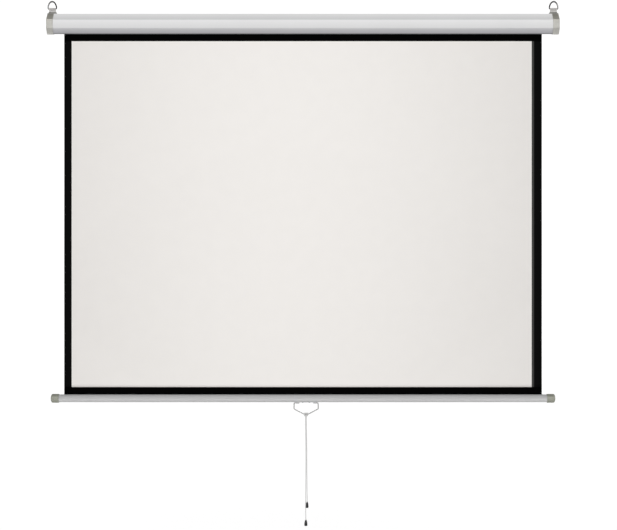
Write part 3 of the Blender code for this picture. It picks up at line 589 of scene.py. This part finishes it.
crossing = f.sum(f.sum(one, 0.0, "SINE"), f.sum(other, 0.0, "SINE"), "MULTIPLY")
over = f.span(crossing, -0.06, 0.06)
strand = f.sum(f.sum(over, f.sum(waves(other), waves(one), "SUBTRACT"), "MULTIPLY"), waves(one))
strand = f.sum(strand, 0.6, "POWER")
fibre = f.sum(f.sum(over, f.sum(waves(other, 5.0), waves(one, 5.0), "SUBTRACT"), "MULTIPLY"), waves(one, 5.0))
yarn = f.sum(f.sum(strand, 0.86, "MULTIPLY"), f.sum(fibre, 0.14, "MULTIPLY"))
f.feed(
    "Base Color",
    f.ramp(yarn, (0.10, (0.42, 0.42, 0.405)), (0.45, (0.66, 0.66, 0.65)), (0.85, (0.77, 0.77, 0.76))),
)
f.bump(yarn, 0.12)
f.set("Sheen Weight", 0.15)
f.set("Sheen Roughness", 0.5)
WHITE_CORD = f.material


def weave(f, pitch_mm, depth_mm, source, letters=("X", "Y")):
    """A plain weave: warp and weft threads that pass over each other in turn."""
    split = f.node("ShaderNodeSeparateXYZ")
    f.link(source, split.inputs["Vector"])
    turns = []
    for letter in letters:
        a = f.sum(split.outputs[letter], 2 * math.pi * 1000.0 / pitch_mm / 2, "MULTIPLY")
        turns.append(f.sum(a, 0.0, "SINE"))
    over = f.sum(turns[0], turns[1], "MULTIPLY")
    lift = f.span(over, -1.0, 1.0)
    f.bump(lift, depth_mm)
    return lift


# projection cloth. Its UV map holds metres across and down the flat cloth.
f = Finish("screen_cloth", (0.83, 0.83, 0.80), 0.85, specular=0.12)
uv = f.node("ShaderNodeUVMap", uv_map="cloth").outputs["UV"]
across, down = f.axis("X", uv), f.axis("Y", uv)
soft = 0.25 * MM
inside_left = f.span(across, WHITE_LEFT - soft, WHITE_LEFT + soft)
inside_right = f.span(across, WHITE_RIGHT + soft, WHITE_RIGHT - soft)
inside_top = f.span(down, WHITE_TOP_Z + soft, WHITE_TOP_Z - soft)
inside_foot = f.span(down, WHITE_FOOT_Z - soft, WHITE_FOOT_Z + soft)
rows = f.sum(inside_top, inside_foot, "MULTIPLY")
white = f.sum(f.sum(inside_left, inside_right, "MULTIPLY"), rows, "MULTIPLY")
stripe = f.sum(
    f.sum(
        f.span(across, WHITE_RIGHT - soft, WHITE_RIGHT + soft),
        f.span(across, GREY_RIGHT + soft, GREY_RIGHT - soft),
        "MULTIPLY",
    ),
    rows,
    "MULTIPLY",
)
slub = f.noise(55.0, detail=3.0, source=uv)
bright = f.ramp(slub, (0.35, (0.850, 0.824, 0.796)), (0.65, (0.858, 0.832, 0.804)))
yarn = f.noise(0.9, detail=3.0, source=uv)
# painted reflection: the side borders are a slightly greyer black than the top and bottom ones
black = f.mix(rows, f.ramp(yarn, (0.3, 0.0006), (0.7, 0.0016)), f.ramp(yarn, (0.3, 0.0034), (0.7, 0.0050)))
colour = f.mix(white, black, bright)
colour = f.mix(stripe, colour, (0.055, 0.055, 0.053))
f.feed("Base Color", colour)
f.set("Specular IOR Level", 0.012)
weave(f, 0.62, 0.035, uv)
f.set("Sheen Weight", 0.0)
SCREEN_CLOTH = f.material

# the black coating behind the cloth, and the cloth that is still wound up
f = Finish("cloth_back", (0.010, 0.010, 0.011), 0.66, specular=0.22)
f.shade(0.10, 90.0, detail=2.0)
f.rough(0.63, 0.69, 40.0, detail=2.0)
weave(f, 0.62, 0.03, f.place(), ("X", "Z"))
CLOTH_BACK = f.material

f = Finish("wound_cloth", (0.011, 0.011, 0.012), 0.62, specular=0.25)
f.shade(0.30, 3.0, detail=4.0, stretch=(0.01, 1, 1))
f.bump(f.noise(0.5, detail=3.0, stretch=(0.01, 1, 1)), 0.04)
WOUND_CLOTH = f.material

PAINTS = {
    "casing_paint": CASING_PAINT,
    "cap_plastic": CAP_PLASTIC,
    "strap_steel": STRAP_STEEL,
    "ring_steel": RING_STEEL,
    "plated_steel": PLATED_STEEL,
    "bracket_steel": BRACKET_STEEL,
    "handle_steel": HANDLE_STEEL,
    "handle_wire": HANDLE_WIRE,
    "spring_steel": SPRING_STEEL,
    "roller_aluminium": ROLLER_ALUMINIUM,
    "zinc": ZINC,
    "plug_nylon": PLUG_NYLON,
    "bush_nylon": BUSH_NYLON,
    "bar_aluminium": BAR_ALUMINIUM,
    "bar_cap_plastic": BAR_CAP_PLASTIC,
    "black_plastic": BLACK_PLASTIC,
    "white_cord": WHITE_CORD,
    "screen_cloth": SCREEN_CLOTH,
    "wound_cloth": WOUND_CLOTH,
}


def dress(obj, slot):
    """Gives a new piece the finish of one of the record's slots."""
    obj.data.materials.clear()
    obj.data.materials.append(PAINTS[slot])
    return obj


# ---------------------------------------------------------------- the frame's own pieces
def smoothing_group():
    """Geometry nodes that join split corners and shade a faceted solid smooth below an angle."""
    group = bpy.data.node_groups.new("smooth_below_angle", "GeometryNodeTree")
    group.interface.new_socket("Geometry", in_out="INPUT", socket_type="NodeSocketGeometry")
    angle = group.interface.new_socket("Angle", in_out="INPUT", socket_type="NodeSocketFloat")
    angle.default_value = math.radians(35)
    group.interface.new_socket("Geometry", in_out="OUTPUT", socket_type="NodeSocketGeometry")
    add = group.nodes.new
    source, sink = add("NodeGroupInput"), add("NodeGroupOutput")
    merge = add("GeometryNodeMergeByDistance")
    merge.inputs["Distance"].default_value = 2e-6
    faces = add("GeometryNodeSetShadeSmooth")
    faces.domain = "FACE"
    faces.inputs["Shade Smooth"].default_value = True
    edges = add("GeometryNodeSetShadeSmooth")
    edges.domain = "EDGE"
    bend = add("GeometryNodeInputMeshEdgeAngle")
    below = add("FunctionNodeCompare")
    below.data_type, below.operation = "FLOAT", "LESS_EQUAL"
    link = group.links.new
    link(source.outputs["Geometry"], merge.inputs["Geometry"])
    link(merge.outputs["Geometry"], faces.inputs["Geometry"])
    link(faces.outputs["Geometry"], edges.inputs["Geometry"])
    link(bend.outputs["Unsigned Angle"], below.inputs["A"])
    link(source.outputs["Angle"], below.inputs["B"])
    link(below.outputs["Result"], edges.inputs["Shade Smooth"])
    link(edges.outputs["Geometry"], sink.inputs["Geometry"])
    return group


SMOOTHING = smoothing_group()
SLOT_OF = {s["node"]: s["material_slot"] for s in frame["record"]["subparts"]}
for name, obj in NODES.items():
    obj.data.materials.clear()
    obj.data.materials.append(PAINTS[SLOT_OF[name]])
    split = obj.data.attributes.get("custom_normal")
    if split is not None:
        obj.data.attributes.remove(split)
    smooth = obj.modifiers.new("smooth_below_angle", "NODES")
    smooth.node_group = SMOOTHING

# ---------------------------------------------------------------- cords, hitch and tassels
START_Z = HITCH_BOTTOM_Z - FIT
LONG_ROUTE = [
    (9.3 * MM, -48.2 * MM, START_Z),
    (9.3 * MM, -48.2 * MM, -1490 * MM),
    (10.8 * MM, -47.6 * MM, -1560 * MM),
    (11.0 * MM, -47.4 * MM, -1640 * MM),
    (10.4 * MM, -46.6 * MM, -1720 * MM),
    (10.1 * MM, -46.2 * MM, -1790 * MM),
    (10.9 * MM, -47.4 * MM, LONG_TASSEL_TOP_Z + FIT),
]
SHORT_ROUTE = [
    (13.1 * MM, -48.2 * MM, START_Z),
    (13.1 * MM, -48.4 * MM, -1490 * MM),
    (14.1 * MM, -48.8 * MM, -1560 * MM),
    (14.4 * MM, -49.4 * MM, -1640 * MM),
    (15.0 * MM, -50.2 * MM, -1710 * MM),
    (15.8 * MM, -50.6 * MM, SHORT_TASSEL_TOP_Z + FIT),
]


def braid_pitch(radius):
    return 2 * math.pi * radius / STRANDS / BRAID_RISE


def braid(radius):
    """The radius of a braided cord by angle and distance: two families of strands that cross over and under."""
    pitch = braid_pitch(radius)

    def relief(angle, along):
        p = STRANDS / 2 * angle - 2 * math.pi * along / pitch
        q = STRANDS / 2 * angle + 2 * math.pi * along / pitch
        over = 0.5 + 0.5 * np.tanh(5.0 * np.sin(p) * np.sin(q))
        a, b = np.abs(np.sin(p)), np.abs(np.sin(q))
        height = over * b**0.6 + (1 - over) * a**0.6
        return radius * (0.83 + 0.17 * height)

    return relief


def braided(name, *cords):
    """Cords of (line, radius, sides, domed ends) as one mesh, with the braid's map."""
    parts, corners = [], []
    for line, radius, sides, dome in cords:
        points, faces = tube(line, radius, sides=sides, relief=braid(radius), dome=dome)
        along = np.concatenate([[0], np.cumsum(np.linalg.norm(np.diff(line, axis=0), axis=1))])
        along = along / braid_pitch(radius)
        for n, face in enumerate(faces):
            i, k = divmod(n, sides)
            if i < len(line) - 1:
                low, high = k / sides, (k + 1) / sides
                corners += [(low, along[i]), (high, along[i]), (high, along[i + 1]), (low, along[i + 1])]
            else:
                corners += [(0.0, 0.0)] * len(face)
        parts.append((points, faces))
    obj = mesh_object(name, *joined(parts))
    layer = obj.data.uv_layers.new(name="braid")
    layer.data.foreach_set("uv", np.array(corners, np.float32).ravel())
    return dress(obj, "white_cord")


def cord_piece(name, route, node):
    fine = smooth_route(route, 400)
    line, length = evenly(fine, 0.42 * MM)
    obj = braided(name, (line, CORD_R, 30, False))
    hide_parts(node)
    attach(obj, "pull_cord")
    return obj, line[:: max(1, len(line) // 60)].tolist() + [line[-1].tolist()], length


cord_long, long_path, long_length = cord_piece("pull_cord_long", LONG_ROUTE, "cord_long")
cord_short, short_path, short_length = cord_piece("pull_cord_short", SHORT_ROUTE, "cord_short")


def hitch_piece():
    """The knot: turns of cord round the bail's foot, whose two ends run down to the strands, and a tucked loop between them."""
    r, turn_r = 1.45 * MM, 3.68 * MM
    first, last, half = math.radians(200), math.radians(-20 - 4 * 360), 7.0 * MM
    at = lambda u, v, w: (HANDLE_X + u * MM, FABRIC_Y + v * MM, FOOT_Z + w * MM)  # noqa: E731
    left = smooth_route(
        [
            at(-2.5, -0.2, -12.3),
            at(-2.52, -0.2, -11.0),
            at(-3.3, -0.9, -9.0),
            at(-5.4, -2.7, -6.1),
            at(-6.9, -3.7, -3.2),
            at(-7.0, -3.2, -1.16),
        ],
        50,
    )
    right = smooth_route(
        [
            at(7.0, 3.2, -1.16),
            at(6.9, 3.7, -3.2),
            at(5.0, 2.9, -6.2),
            at(2.3, 0.9, -9.0),
            at(1.32, -0.2, -11.0),
            at(1.3, -0.2, -12.3),
        ],
        50,
    )
    coil = []
    for k in range(161):
        t = k / 160
        a = first + (last - first) * t
        coil.append(
            (
                HANDLE_X - half + 2 * half * t,
                FABRIC_Y + turn_r * math.cos(a),
                FOOT_Z + turn_r * math.sin(a),
            )
        )
    line, _ = evenly([*left[:-1], *coil, *right[1:]], 0.45 * MM)
    loop = smooth_route(
        [at(-2.2, 0.8, -4.6), at(-2.0, 0.3, -6.8), at(-1.3, -0.1, -8.6), at(-0.3, -0.2, -9.3), at(0.6, -0.1, -8.6), at(1.4, 0.3, -6.8), at(1.7, 0.8, -4.6)],
        60,
    )
    loop, _ = evenly(loop, 0.45 * MM)
    obj = braided("cord_knot", (line, r, 24, True), (loop, 1.25 * MM, 24, True))
    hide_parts("cord_hitch")
    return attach(obj, "pull_cord")


cord_knot = hitch_piece()

TASSEL_FORM = [
    (0.36, 0.0),
    (0.42, 0.008),
    (0.455, 0.03),
    (0.455, 0.075),
    (0.43, 0.095),
    (0.44, 0.11),
    (0.58, 0.13),
    (0.67, 0.16),
    (0.74, 0.21),
    (0.80, 0.28),
    (0.86, 0.37),
    (0.91, 0.47),
    (0.955, 0.58),
    (0.985, 0.69),
    (1.0, 0.78),
    (1.0, 0.86),
    (0.985, 0.92),
    (0.95, 0.96),
    (0.90, 0.985),
    (0.84, 1.0),
    (0.77, 1.0),
    (0.72, 0.985),
    (0.69, 0.94),
    (0.66, 0.80),
    (0.58, 0.64),
    (0.44, 0.54),
    (0.30, 0.52),
    (0.0, 0.51),
]


def tassel_piece(name, node, route, top, radius):
    """A bell-shaped moulded end with a collar at its top, hollow from below."""
    profile = [(0.0, 0.0)]
    for i, (r, t) in enumerate(TASSEL_FORM):
        profile.append((radius * r, -TASSEL_H * t))
    obj = mesh_object(name, *lathe(profile, 64, (route[-1][0], route[-1][1], top)), crease=50)
    outward(obj)
    dress(obj, "black_plastic")
    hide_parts(node)
    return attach(obj, "pull_cord")


tassel_long = tassel_piece("cord_bell_long", "tassel_long", LONG_ROUTE, LONG_TASSEL_TOP_Z, 5.9 * MM)
tassel_short = tassel_piece("cord_bell_short", "tassel_short", SHORT_ROUTE, SHORT_TASSEL_TOP_Z, 5.0 * MM)


def stop_knot(name, route, top, size, radius):
    """The overhand knot that keeps the cord in its tassel, seen in the hollow from below."""
    line = []
    for k in range(120):
        a = 2 * math.pi * k / 120
        line.append(
            (
                route[-1][0] + size * (math.sin(a) + 2 * math.sin(2 * a)),
                route[-1][1] + size * (math.cos(a) - 2 * math.cos(2 * a)),
                top - 13.6 * MM - 1.35 * size * math.sin(3 * a),
            )
        )
    line, _ = evenly([*line, line[0]], 0.3 * MM)
    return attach(braided(name, (line, radius, 16, True)), "pull_cord")


knot_long = stop_knot("cord_stop_long", LONG_ROUTE, LONG_TASSEL_TOP_Z, 0.62 * MM, 0.95 * MM)
knot_short = stop_knot("cord_stop_short", SHORT_ROUTE, SHORT_TASSEL_TOP_Z, 0.50 * MM, 0.80 * MM)

# ---------------------------------------------------------------- pull handle and rings
bail = rounded(
    [
        (-26.4 * MM, 0.0),
        (-HANDLE_HALF, 0.0),
        (-HANDLE_HALF, HANDLE_SHOULDER),
        (-HANDLE_FOOT, HANDLE_DROP),
        (HANDLE_FOOT, HANDLE_DROP),
        (HANDLE_HALF, HANDLE_SHOULDER),
        (HANDLE_HALF, 0.0),
        (26.4 * MM, 0.0),
    ],
    2.6 * MM,
    14,
)
line, bail_length = evenly([(HANDLE_X + u, FABRIC_Y, HANDLE_Z + v) for u, v in bail], 0.7 * MM)


def bail_wire(angle, along):
    """The wire's ends are turned down a little where they sit in the knuckles."""
    inward = min(along, bail_length - along)
    return PIVOT_R + (HANDLE_WIRE_R - PIVOT_R) * min(1.0, max(0.0, (inward - 15.9 * MM) / (0.8 * MM)))


handle = mesh_object("wire_handle", *tube(line, HANDLE_WIRE_R, sides=28, relief=bail_wire))
dress(handle, "handle_wire")
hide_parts("pull_handle")
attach(handle, "handle")

for side, word in ((-1, "left"), (1, "right")):
    corner, loop, thick = 2.4 * MM, [], []
    for k in range(72):
        a = math.pi * k / 72
        loop.append((RING_HALF_WIDTH * math.cos(a), corner + (RING_HEIGHT - corner) * math.sin(a)))
        # thin where it turns in the strap's curl, thickest at the top of the bow
        full = min(1.0, (loop[-1][1] - corner) / (6.0 * MM))
        thick.append(PIVOT_R + (RING_WIRE_R - PIVOT_R) * full + RING_CROWN * math.sin(a) ** 3)
    for turn_from, cx in ((180, -1), (270, 1)):
        for k in range(11):
            a = math.radians(turn_from + 9 * k)
            loop.append(
                (cx * (RING_HALF_WIDTH - corner) + corner * math.cos(a), corner + corner * math.sin(a))
            )
            thick.append(PIVOT_R)
    tilt = -side * RING_TILT
    points = [
        (
            side * RING_X + u * math.cos(tilt) - v * math.sin(tilt),
            RING_Y,
            RING_Z + u * math.sin(tilt) + v * math.cos(tilt),
        )
        for u, v in loop
    ]
    line, _ = evenly(points, 0.7 * MM, closed=True)
    marks = np.concatenate([[0], np.cumsum(np.linalg.norm(np.diff(np.array(points), axis=0), axis=1))])

    def ring_wire(angle, along, marks=marks, thick=thick):
        return np.interp(along, marks, thick)

    ring = mesh_object(
        f"hanging_ring_{word}", *tube(line, RING_WIRE_R, sides=28, closed=True, relief=ring_wire)
    )
    dress(ring, "ring_steel")
    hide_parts(f"d_ring_{word}")
    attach(ring, f"ring_{word}")

# ---------------------------------------------------------------- bar caps
bar_ends = []
for side, word in ((-1, "left"), (1, "right")):
    end, crown, bend = BAR_CAP_ENDS[word], 7.4 * MM, 14.0 * MM
    profile = [
        (0.0, BAR_HALF + 0.5 * MM),
        (BAR_R + FIT, BAR_HALF + 0.5 * MM),
        (BAR_R + FIT, BAR_CAP_INNER_X),
        (BAR_CAP_R - 0.75 * MM, BAR_CAP_INNER_X),
        (BAR_CAP_R - 0.45 * MM, BAR_CAP_INNER_X + 0.15 * MM),
        (BAR_CAP_R - 0.32 * MM, BAR_CAP_INNER_X + 0.5 * MM),
        (BAR_CAP_R - 0.32 * MM, BAR_CAP_INNER_X + 2.0 * MM),
        (BAR_CAP_R - 0.10 * MM, BAR_CAP_INNER_X + 2.15 * MM),
        (BAR_CAP_R, BAR_CAP_INNER_X + 2.4 * MM),
    ]
    for k in range(19):
        a = math.radians(5 * k)
        profile.append((BAR_CAP_R - bend + bend * math.cos(a), end - crown + crown * math.sin(a)))
    profile.append((0.0, end))
    profile = [(r, side * h) for r, h in profile]
    cap = mesh_object(
        f"bar_end_{word}", *lathe(profile, 96, (0.0, FABRIC_Y, BAR_Z), axis="X"), crease=40
    )
    outward(cap)
    dress(cap, "bar_cap_plastic")
    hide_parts(f"bar_cap_{word}")
    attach(cap, "weight_bar")
    bar_ends.append(cap)


# ---------------------------------------------------------------- screws with a cross recess
def cross_screw(name, node, body, place, profile, top, head_r, depth):
    """A turned screw whose head has a cross cut into it. top is where the head ends, seen along Z."""
    screw = mesh_object(name, *lathe(profile, 48, place))
    outward(screw)
    way = 1 if top > 0 else -1
    blades = []
    for long, short in ((0.60 * head_r, 0.13 * head_r), (0.13 * head_r, 0.60 * head_r)):
        low, high = [], []
        for x, y in ((-1, -1), (1, -1), (1, 1), (-1, 1)):
            high.append((place[0] + x * long, place[1] + y * short, place[2] + top + way * MM))
            low.append(
                (place[0] + 0.45 * x * long, place[1] + 0.8 * y * short, place[2] + top - way * depth)
                if long > short
                else (place[0] + 0.8 * x * long, place[1] + 0.45 * y * short, place[2] + top - way * depth)
            )
        sides = [(k, (k + 1) % 4, 4 + (k + 1) % 4, 4 + k) for k in range(4)]
        blades.append(([*low, *high], [(3, 2, 1, 0), (4, 5, 6, 7), *sides]))
    for n, blade in enumerate(blades):
        cutter = outward(mesh_object(f"{name}_blade_{n}", *blade, smooth=False))
        cut = screw.modifiers.new("recess", "BOOLEAN")
        cut.operation, cut.solver, cut.object = "DIFFERENCE", "EXACT", cutter
        seen = screw.evaluated_get(bpy.context.evaluated_depsgraph_get())
        mesh = bpy.data.meshes.new_from_object(seen)
        screw.modifiers.clear()
        screw.data = mesh
        bpy.data.objects.remove(cutter)
    screw.data.polygons.foreach_set("use_smooth", [True] * len(screw.data.polygons))
    screw.data.set_sharp_from_angle(angle=math.radians(32))
    dress(screw, "plated_steel")
    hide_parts(node)
    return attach(screw, body)


for side, word in ((-1, "left"), (1, "right")):
    cross_screw(
        f"strap_bolt_{word}",
        f"strap_screw_{word}",
        "casing_assembly",
        (side * RING_X, -25.0 * MM, 46.1 * MM),
        [
            (r * MM, h * MM)
            for r, h in (
                (0, -15.0), (1.0, -15.0), (1.9, -13.5), (1.9, 0.0), (3.55, 0.0), (3.7, 0.12), (3.7, 0.55),
                (3.58, 0.95), (3.25, 1.35), (2.7, 1.68), (2.0, 1.90), (1.1, 2.06), (0, 2.1),
            )
        ],
        2.1 * MM,
        3.7 * MM,
        1.25 * MM,
    )
    cross_screw(
        f"plate_screw_{word}",
        f"handle_screw_{word}",
        "weight_bar",
        (HANDLE_X + side * 12.5 * MM, FABRIC_Y, BAR_Z - BAR_R - 1.6 * MM),
        [
            (r * MM, h * MM)
            for r, h in (
                (0, 7.0), (0.7, 7.0), (1.3, 6.0), (1.3, 0.0), (2.6, 0.0), (2.7, -0.1), (2.7, -0.5),
                (2.56, -0.84), (2.2, -1.12), (1.6, -1.30), (0.9, -1.38), (0, -1.4),
            )
        ],
        -1.4 * MM,
        2.7 * MM,
        0.8 * MM,
    )

# ---------------------------------------------------------------- cloth
SHEET_T = 0.42 * MM


def cloth_piece(name, low_z, high_z, columns, rows):
    """A thin sheet facing the viewer, with a slight slow wave, a UV map in metres and a black back."""
    across = np.linspace(FABRIC_LEFT, FABRIC_RIGHT, columns + 1)
    down = np.linspace(low_z, high_z, rows + 1)
    gx, gz = np.meshgrid(across, down)
    # the wave dies out at the slot above and at the bar below
    hold = np.clip((FABRIC_TOP_Z - gz - 0.04) / 0.25, 0, 1) * np.clip((gz + 1.374) / 0.22, 0, 1)
    hold = hold * hold * (3 - 2 * hold)
    edge = np.clip((np.abs(gx) - 0.80) / 0.085, 0, 1) ** 2
    wave = 0.45 * np.sin(gx * 7.1 + 0.6) * np.sin(gz * 3.3 + 0.9)
    wave += 0.30 * np.sin(gx * 13.7 + gz * 2.1)
    wave += edge * (0.5 + 0.45 * np.sin(gz * 9.0))
    gy = FABRIC_Y + wave * hold * MM
    points = np.stack([gx, gy, gz], axis=-1).reshape(-1, 3)
    wide = columns + 1
    faces = [
        (r * wide + c, r * wide + c + 1, (r + 1) * wide + c + 1, (r + 1) * wide + c)
        for r in range(rows)
        for c in range(columns)
    ]
    obj = mesh_object(name, points, faces)
    layer = obj.data.uv_layers.new(name="cloth")
    index = np.zeros(len(obj.data.loops), np.int32)
    obj.data.loops.foreach_get("vertex_index", index)
    layer.data.foreach_set("uv", points[index][:, [0, 2]].astype(np.float32).ravel())
    dress(obj, "screen_cloth")
    obj.data.materials.append(CLOTH_BACK)
    thick = obj.modifiers.new("thickness", "SOLIDIFY")
    thick.thickness = SHEET_T
    thick.offset = 0.0
    thick.use_rim = True
    thick.material_offset = 1
    thick.material_offset_rim = 1
    return obj


viewing_cloth = cloth_piece("viewing_cloth", WHITE_FOOT_Z, FABRIC_TOP_Z, 150, 110)
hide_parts("screen_fabric")
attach(viewing_cloth, "casing_assembly")
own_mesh(viewing_cloth)
lower_border = cloth_piece("lower_border_cloth", FABRIC_FOOT_Z, WHITE_FOOT_Z, 150, 4)
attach(lower_border, "weight_bar")

# ---------------------------------------------------------------- floor, light and background
floor = mesh_object(
    "studio_floor",
    [(-200, -200, -2.02), (200, -200, -2.02), (200, 200, -2.02), (-200, 200, -2.02)],
    [(0, 1, 2, 3)],
    smooth=False,
)
f = Finish("studio_floor", (0.80, 0.80, 0.80), 0.8, specular=0.1)
f.feed("Base Color", f.ramp(f.noise(900.0, detail=2.0), (0.3, 0.79), (0.7, 0.81)))
f.set("Emission Color", (1.0, 1.0, 1.0, 1.0))
f.set("Emission Strength", 0.56)
# from below the floor can be seen through, so that the object's underside shows
clear = f.node("ShaderNodeBsdfTransparent")
choice = f.node("ShaderNodeMixShader")
f.link(f.node("ShaderNodeNewGeometry").outputs["Backfacing"], choice.inputs["Fac"])
f.link(f.shader.outputs["BSDF"], choice.inputs[1])
f.link(clear.outputs["BSDF"], choice.inputs[2])
f.link(choice.outputs["Shader"], f.out.inputs["Surface"])
floor.data.materials.append(f.material)
# the light from below comes from the sky's lower half and not from the white floor
floor.visible_diffuse = False
floor.visible_glossy = False

# the sky of a plain studio: a white backdrop behind the object, a broad soft light behind the viewer
world = bpy.data.worlds.new("studio")
scene.world = world
world.use_nodes = True
tree = world.node_tree
tree.nodes.clear()
where = tree.nodes.new("ShaderNodeTexCoord")
split = tree.nodes.new("ShaderNodeSeparateXYZ")
tree.links.new(where.outputs["Generated"], split.inputs["Vector"])


def sky(*stops):
    """Brightness by height: stops are (sine of the elevation, brightness)."""
    rise = tree.nodes.new("ShaderNodeMapRange")
    rise.inputs["From Min"].default_value = -1.0
    rise.inputs["From Max"].default_value = 1.0
    tree.links.new(split.outputs["Z"], rise.inputs["Value"])
    shade = tree.nodes.new("ShaderNodeValToRGB")
    table = shade.color_ramp.elements
    while len(table) < len(stops):
        table.new(0.5)
    for element, (height, value) in zip(table, stops):
        element.position = (height + 1) / 2
        element.color = (value / 2, value / 2, value / 2, 1)
    tree.links.new(rise.outputs["Result"], shade.inputs["Fac"])
    return shade.outputs["Color"]


behind = sky((-1.0, 0.6), (-0.05, 1.05), (0.0, 1.06), (0.45, 1.06), (0.75, 0.45), (1.0, 0.20))
before = sky((-1.0, 0.35), (-0.14, 0.45), (-0.03, 1.0), (0.12, 1.0), (0.26, 0.84), (0.55, 0.82), (0.80, 0.45), (1.0, 0.20))
side = tree.nodes.new("ShaderNodeMapRange")
side.interpolation_type = "SMOOTHSTEP"
side.inputs["From Min"].default_value = -0.35
side.inputs["From Max"].default_value = 0.25
tree.links.new(split.outputs["Y"], side.inputs["Value"])
both = tree.nodes.new("ShaderNodeMix")
both.data_type = "RGBA"
tree.links.new(side.outputs["Result"], both.inputs[0])
tree.links.new(before, both.inputs[6])
tree.links.new(behind, both.inputs[7])
glow = tree.nodes.new("ShaderNodeBackground")
glow.inputs["Strength"].default_value = 2.0
tree.links.new(both.outputs[2], glow.inputs["Color"])
end = tree.nodes.new("ShaderNodeOutputWorld")
tree.links.new(glow.outputs["Background"], end.inputs["Surface"])


def softbox(name, place, aim, size, watts, only=(), never=()):
    """A soft panel of light. It lights everything, or only some pieces, or everything but some."""
    data = bpy.data.lights.new(name, "AREA")
    data.shape = "RECTANGLE"
    data.size, data.size_y = size
    data.energy = watts
    obj = bpy.data.objects.new(name, data)
    obj.location = place
    obj.rotation_euler = (Vector(aim) - Vector(place)).to_track_quat("-Z", "Y").to_euler()
    obj.visible_camera = False
    scene.collection.objects.link(obj)
    if only or never:
        group = bpy.data.collections.new(name + "_reach")
        for piece in (*only, *never):
            group.objects.link(piece)
        for entry in group.collection_objects:
            entry.light_linking.link_state = "INCLUDE" if only else "EXCLUDE"
        obj.light_linking.receiver_collection = group
    return obj


cloths = (viewing_cloth, lower_border)
low_pieces = [
    handle,
    *bar_ends,
    *(NODES[name] for name in ("bottom_bar", "end_cap_left", "end_cap_right", "handle_plate")),
]
softbox("cloth_softbox", (-0.06, -1.62, -0.98), (-0.06, 0, -0.98), (1.15, 5.0), 24.2, only=cloths)
softbox("key_softbox", (0.0, -6.2, 1.9), (0, 0, -0.3), (9.0, 2.2), 128.0, never=(*cloths, floor))
softbox("low_softbox", (0.0, -0.7, -1.95), (0, 0, -1.30), (4.4, 0.5), 11.0, only=low_pieces)

scene.view_settings.view_transform = "Standard"
scene.view_settings.look = "None"
scene.view_settings.exposure = 0.0
scene.view_settings.gamma = 1.0
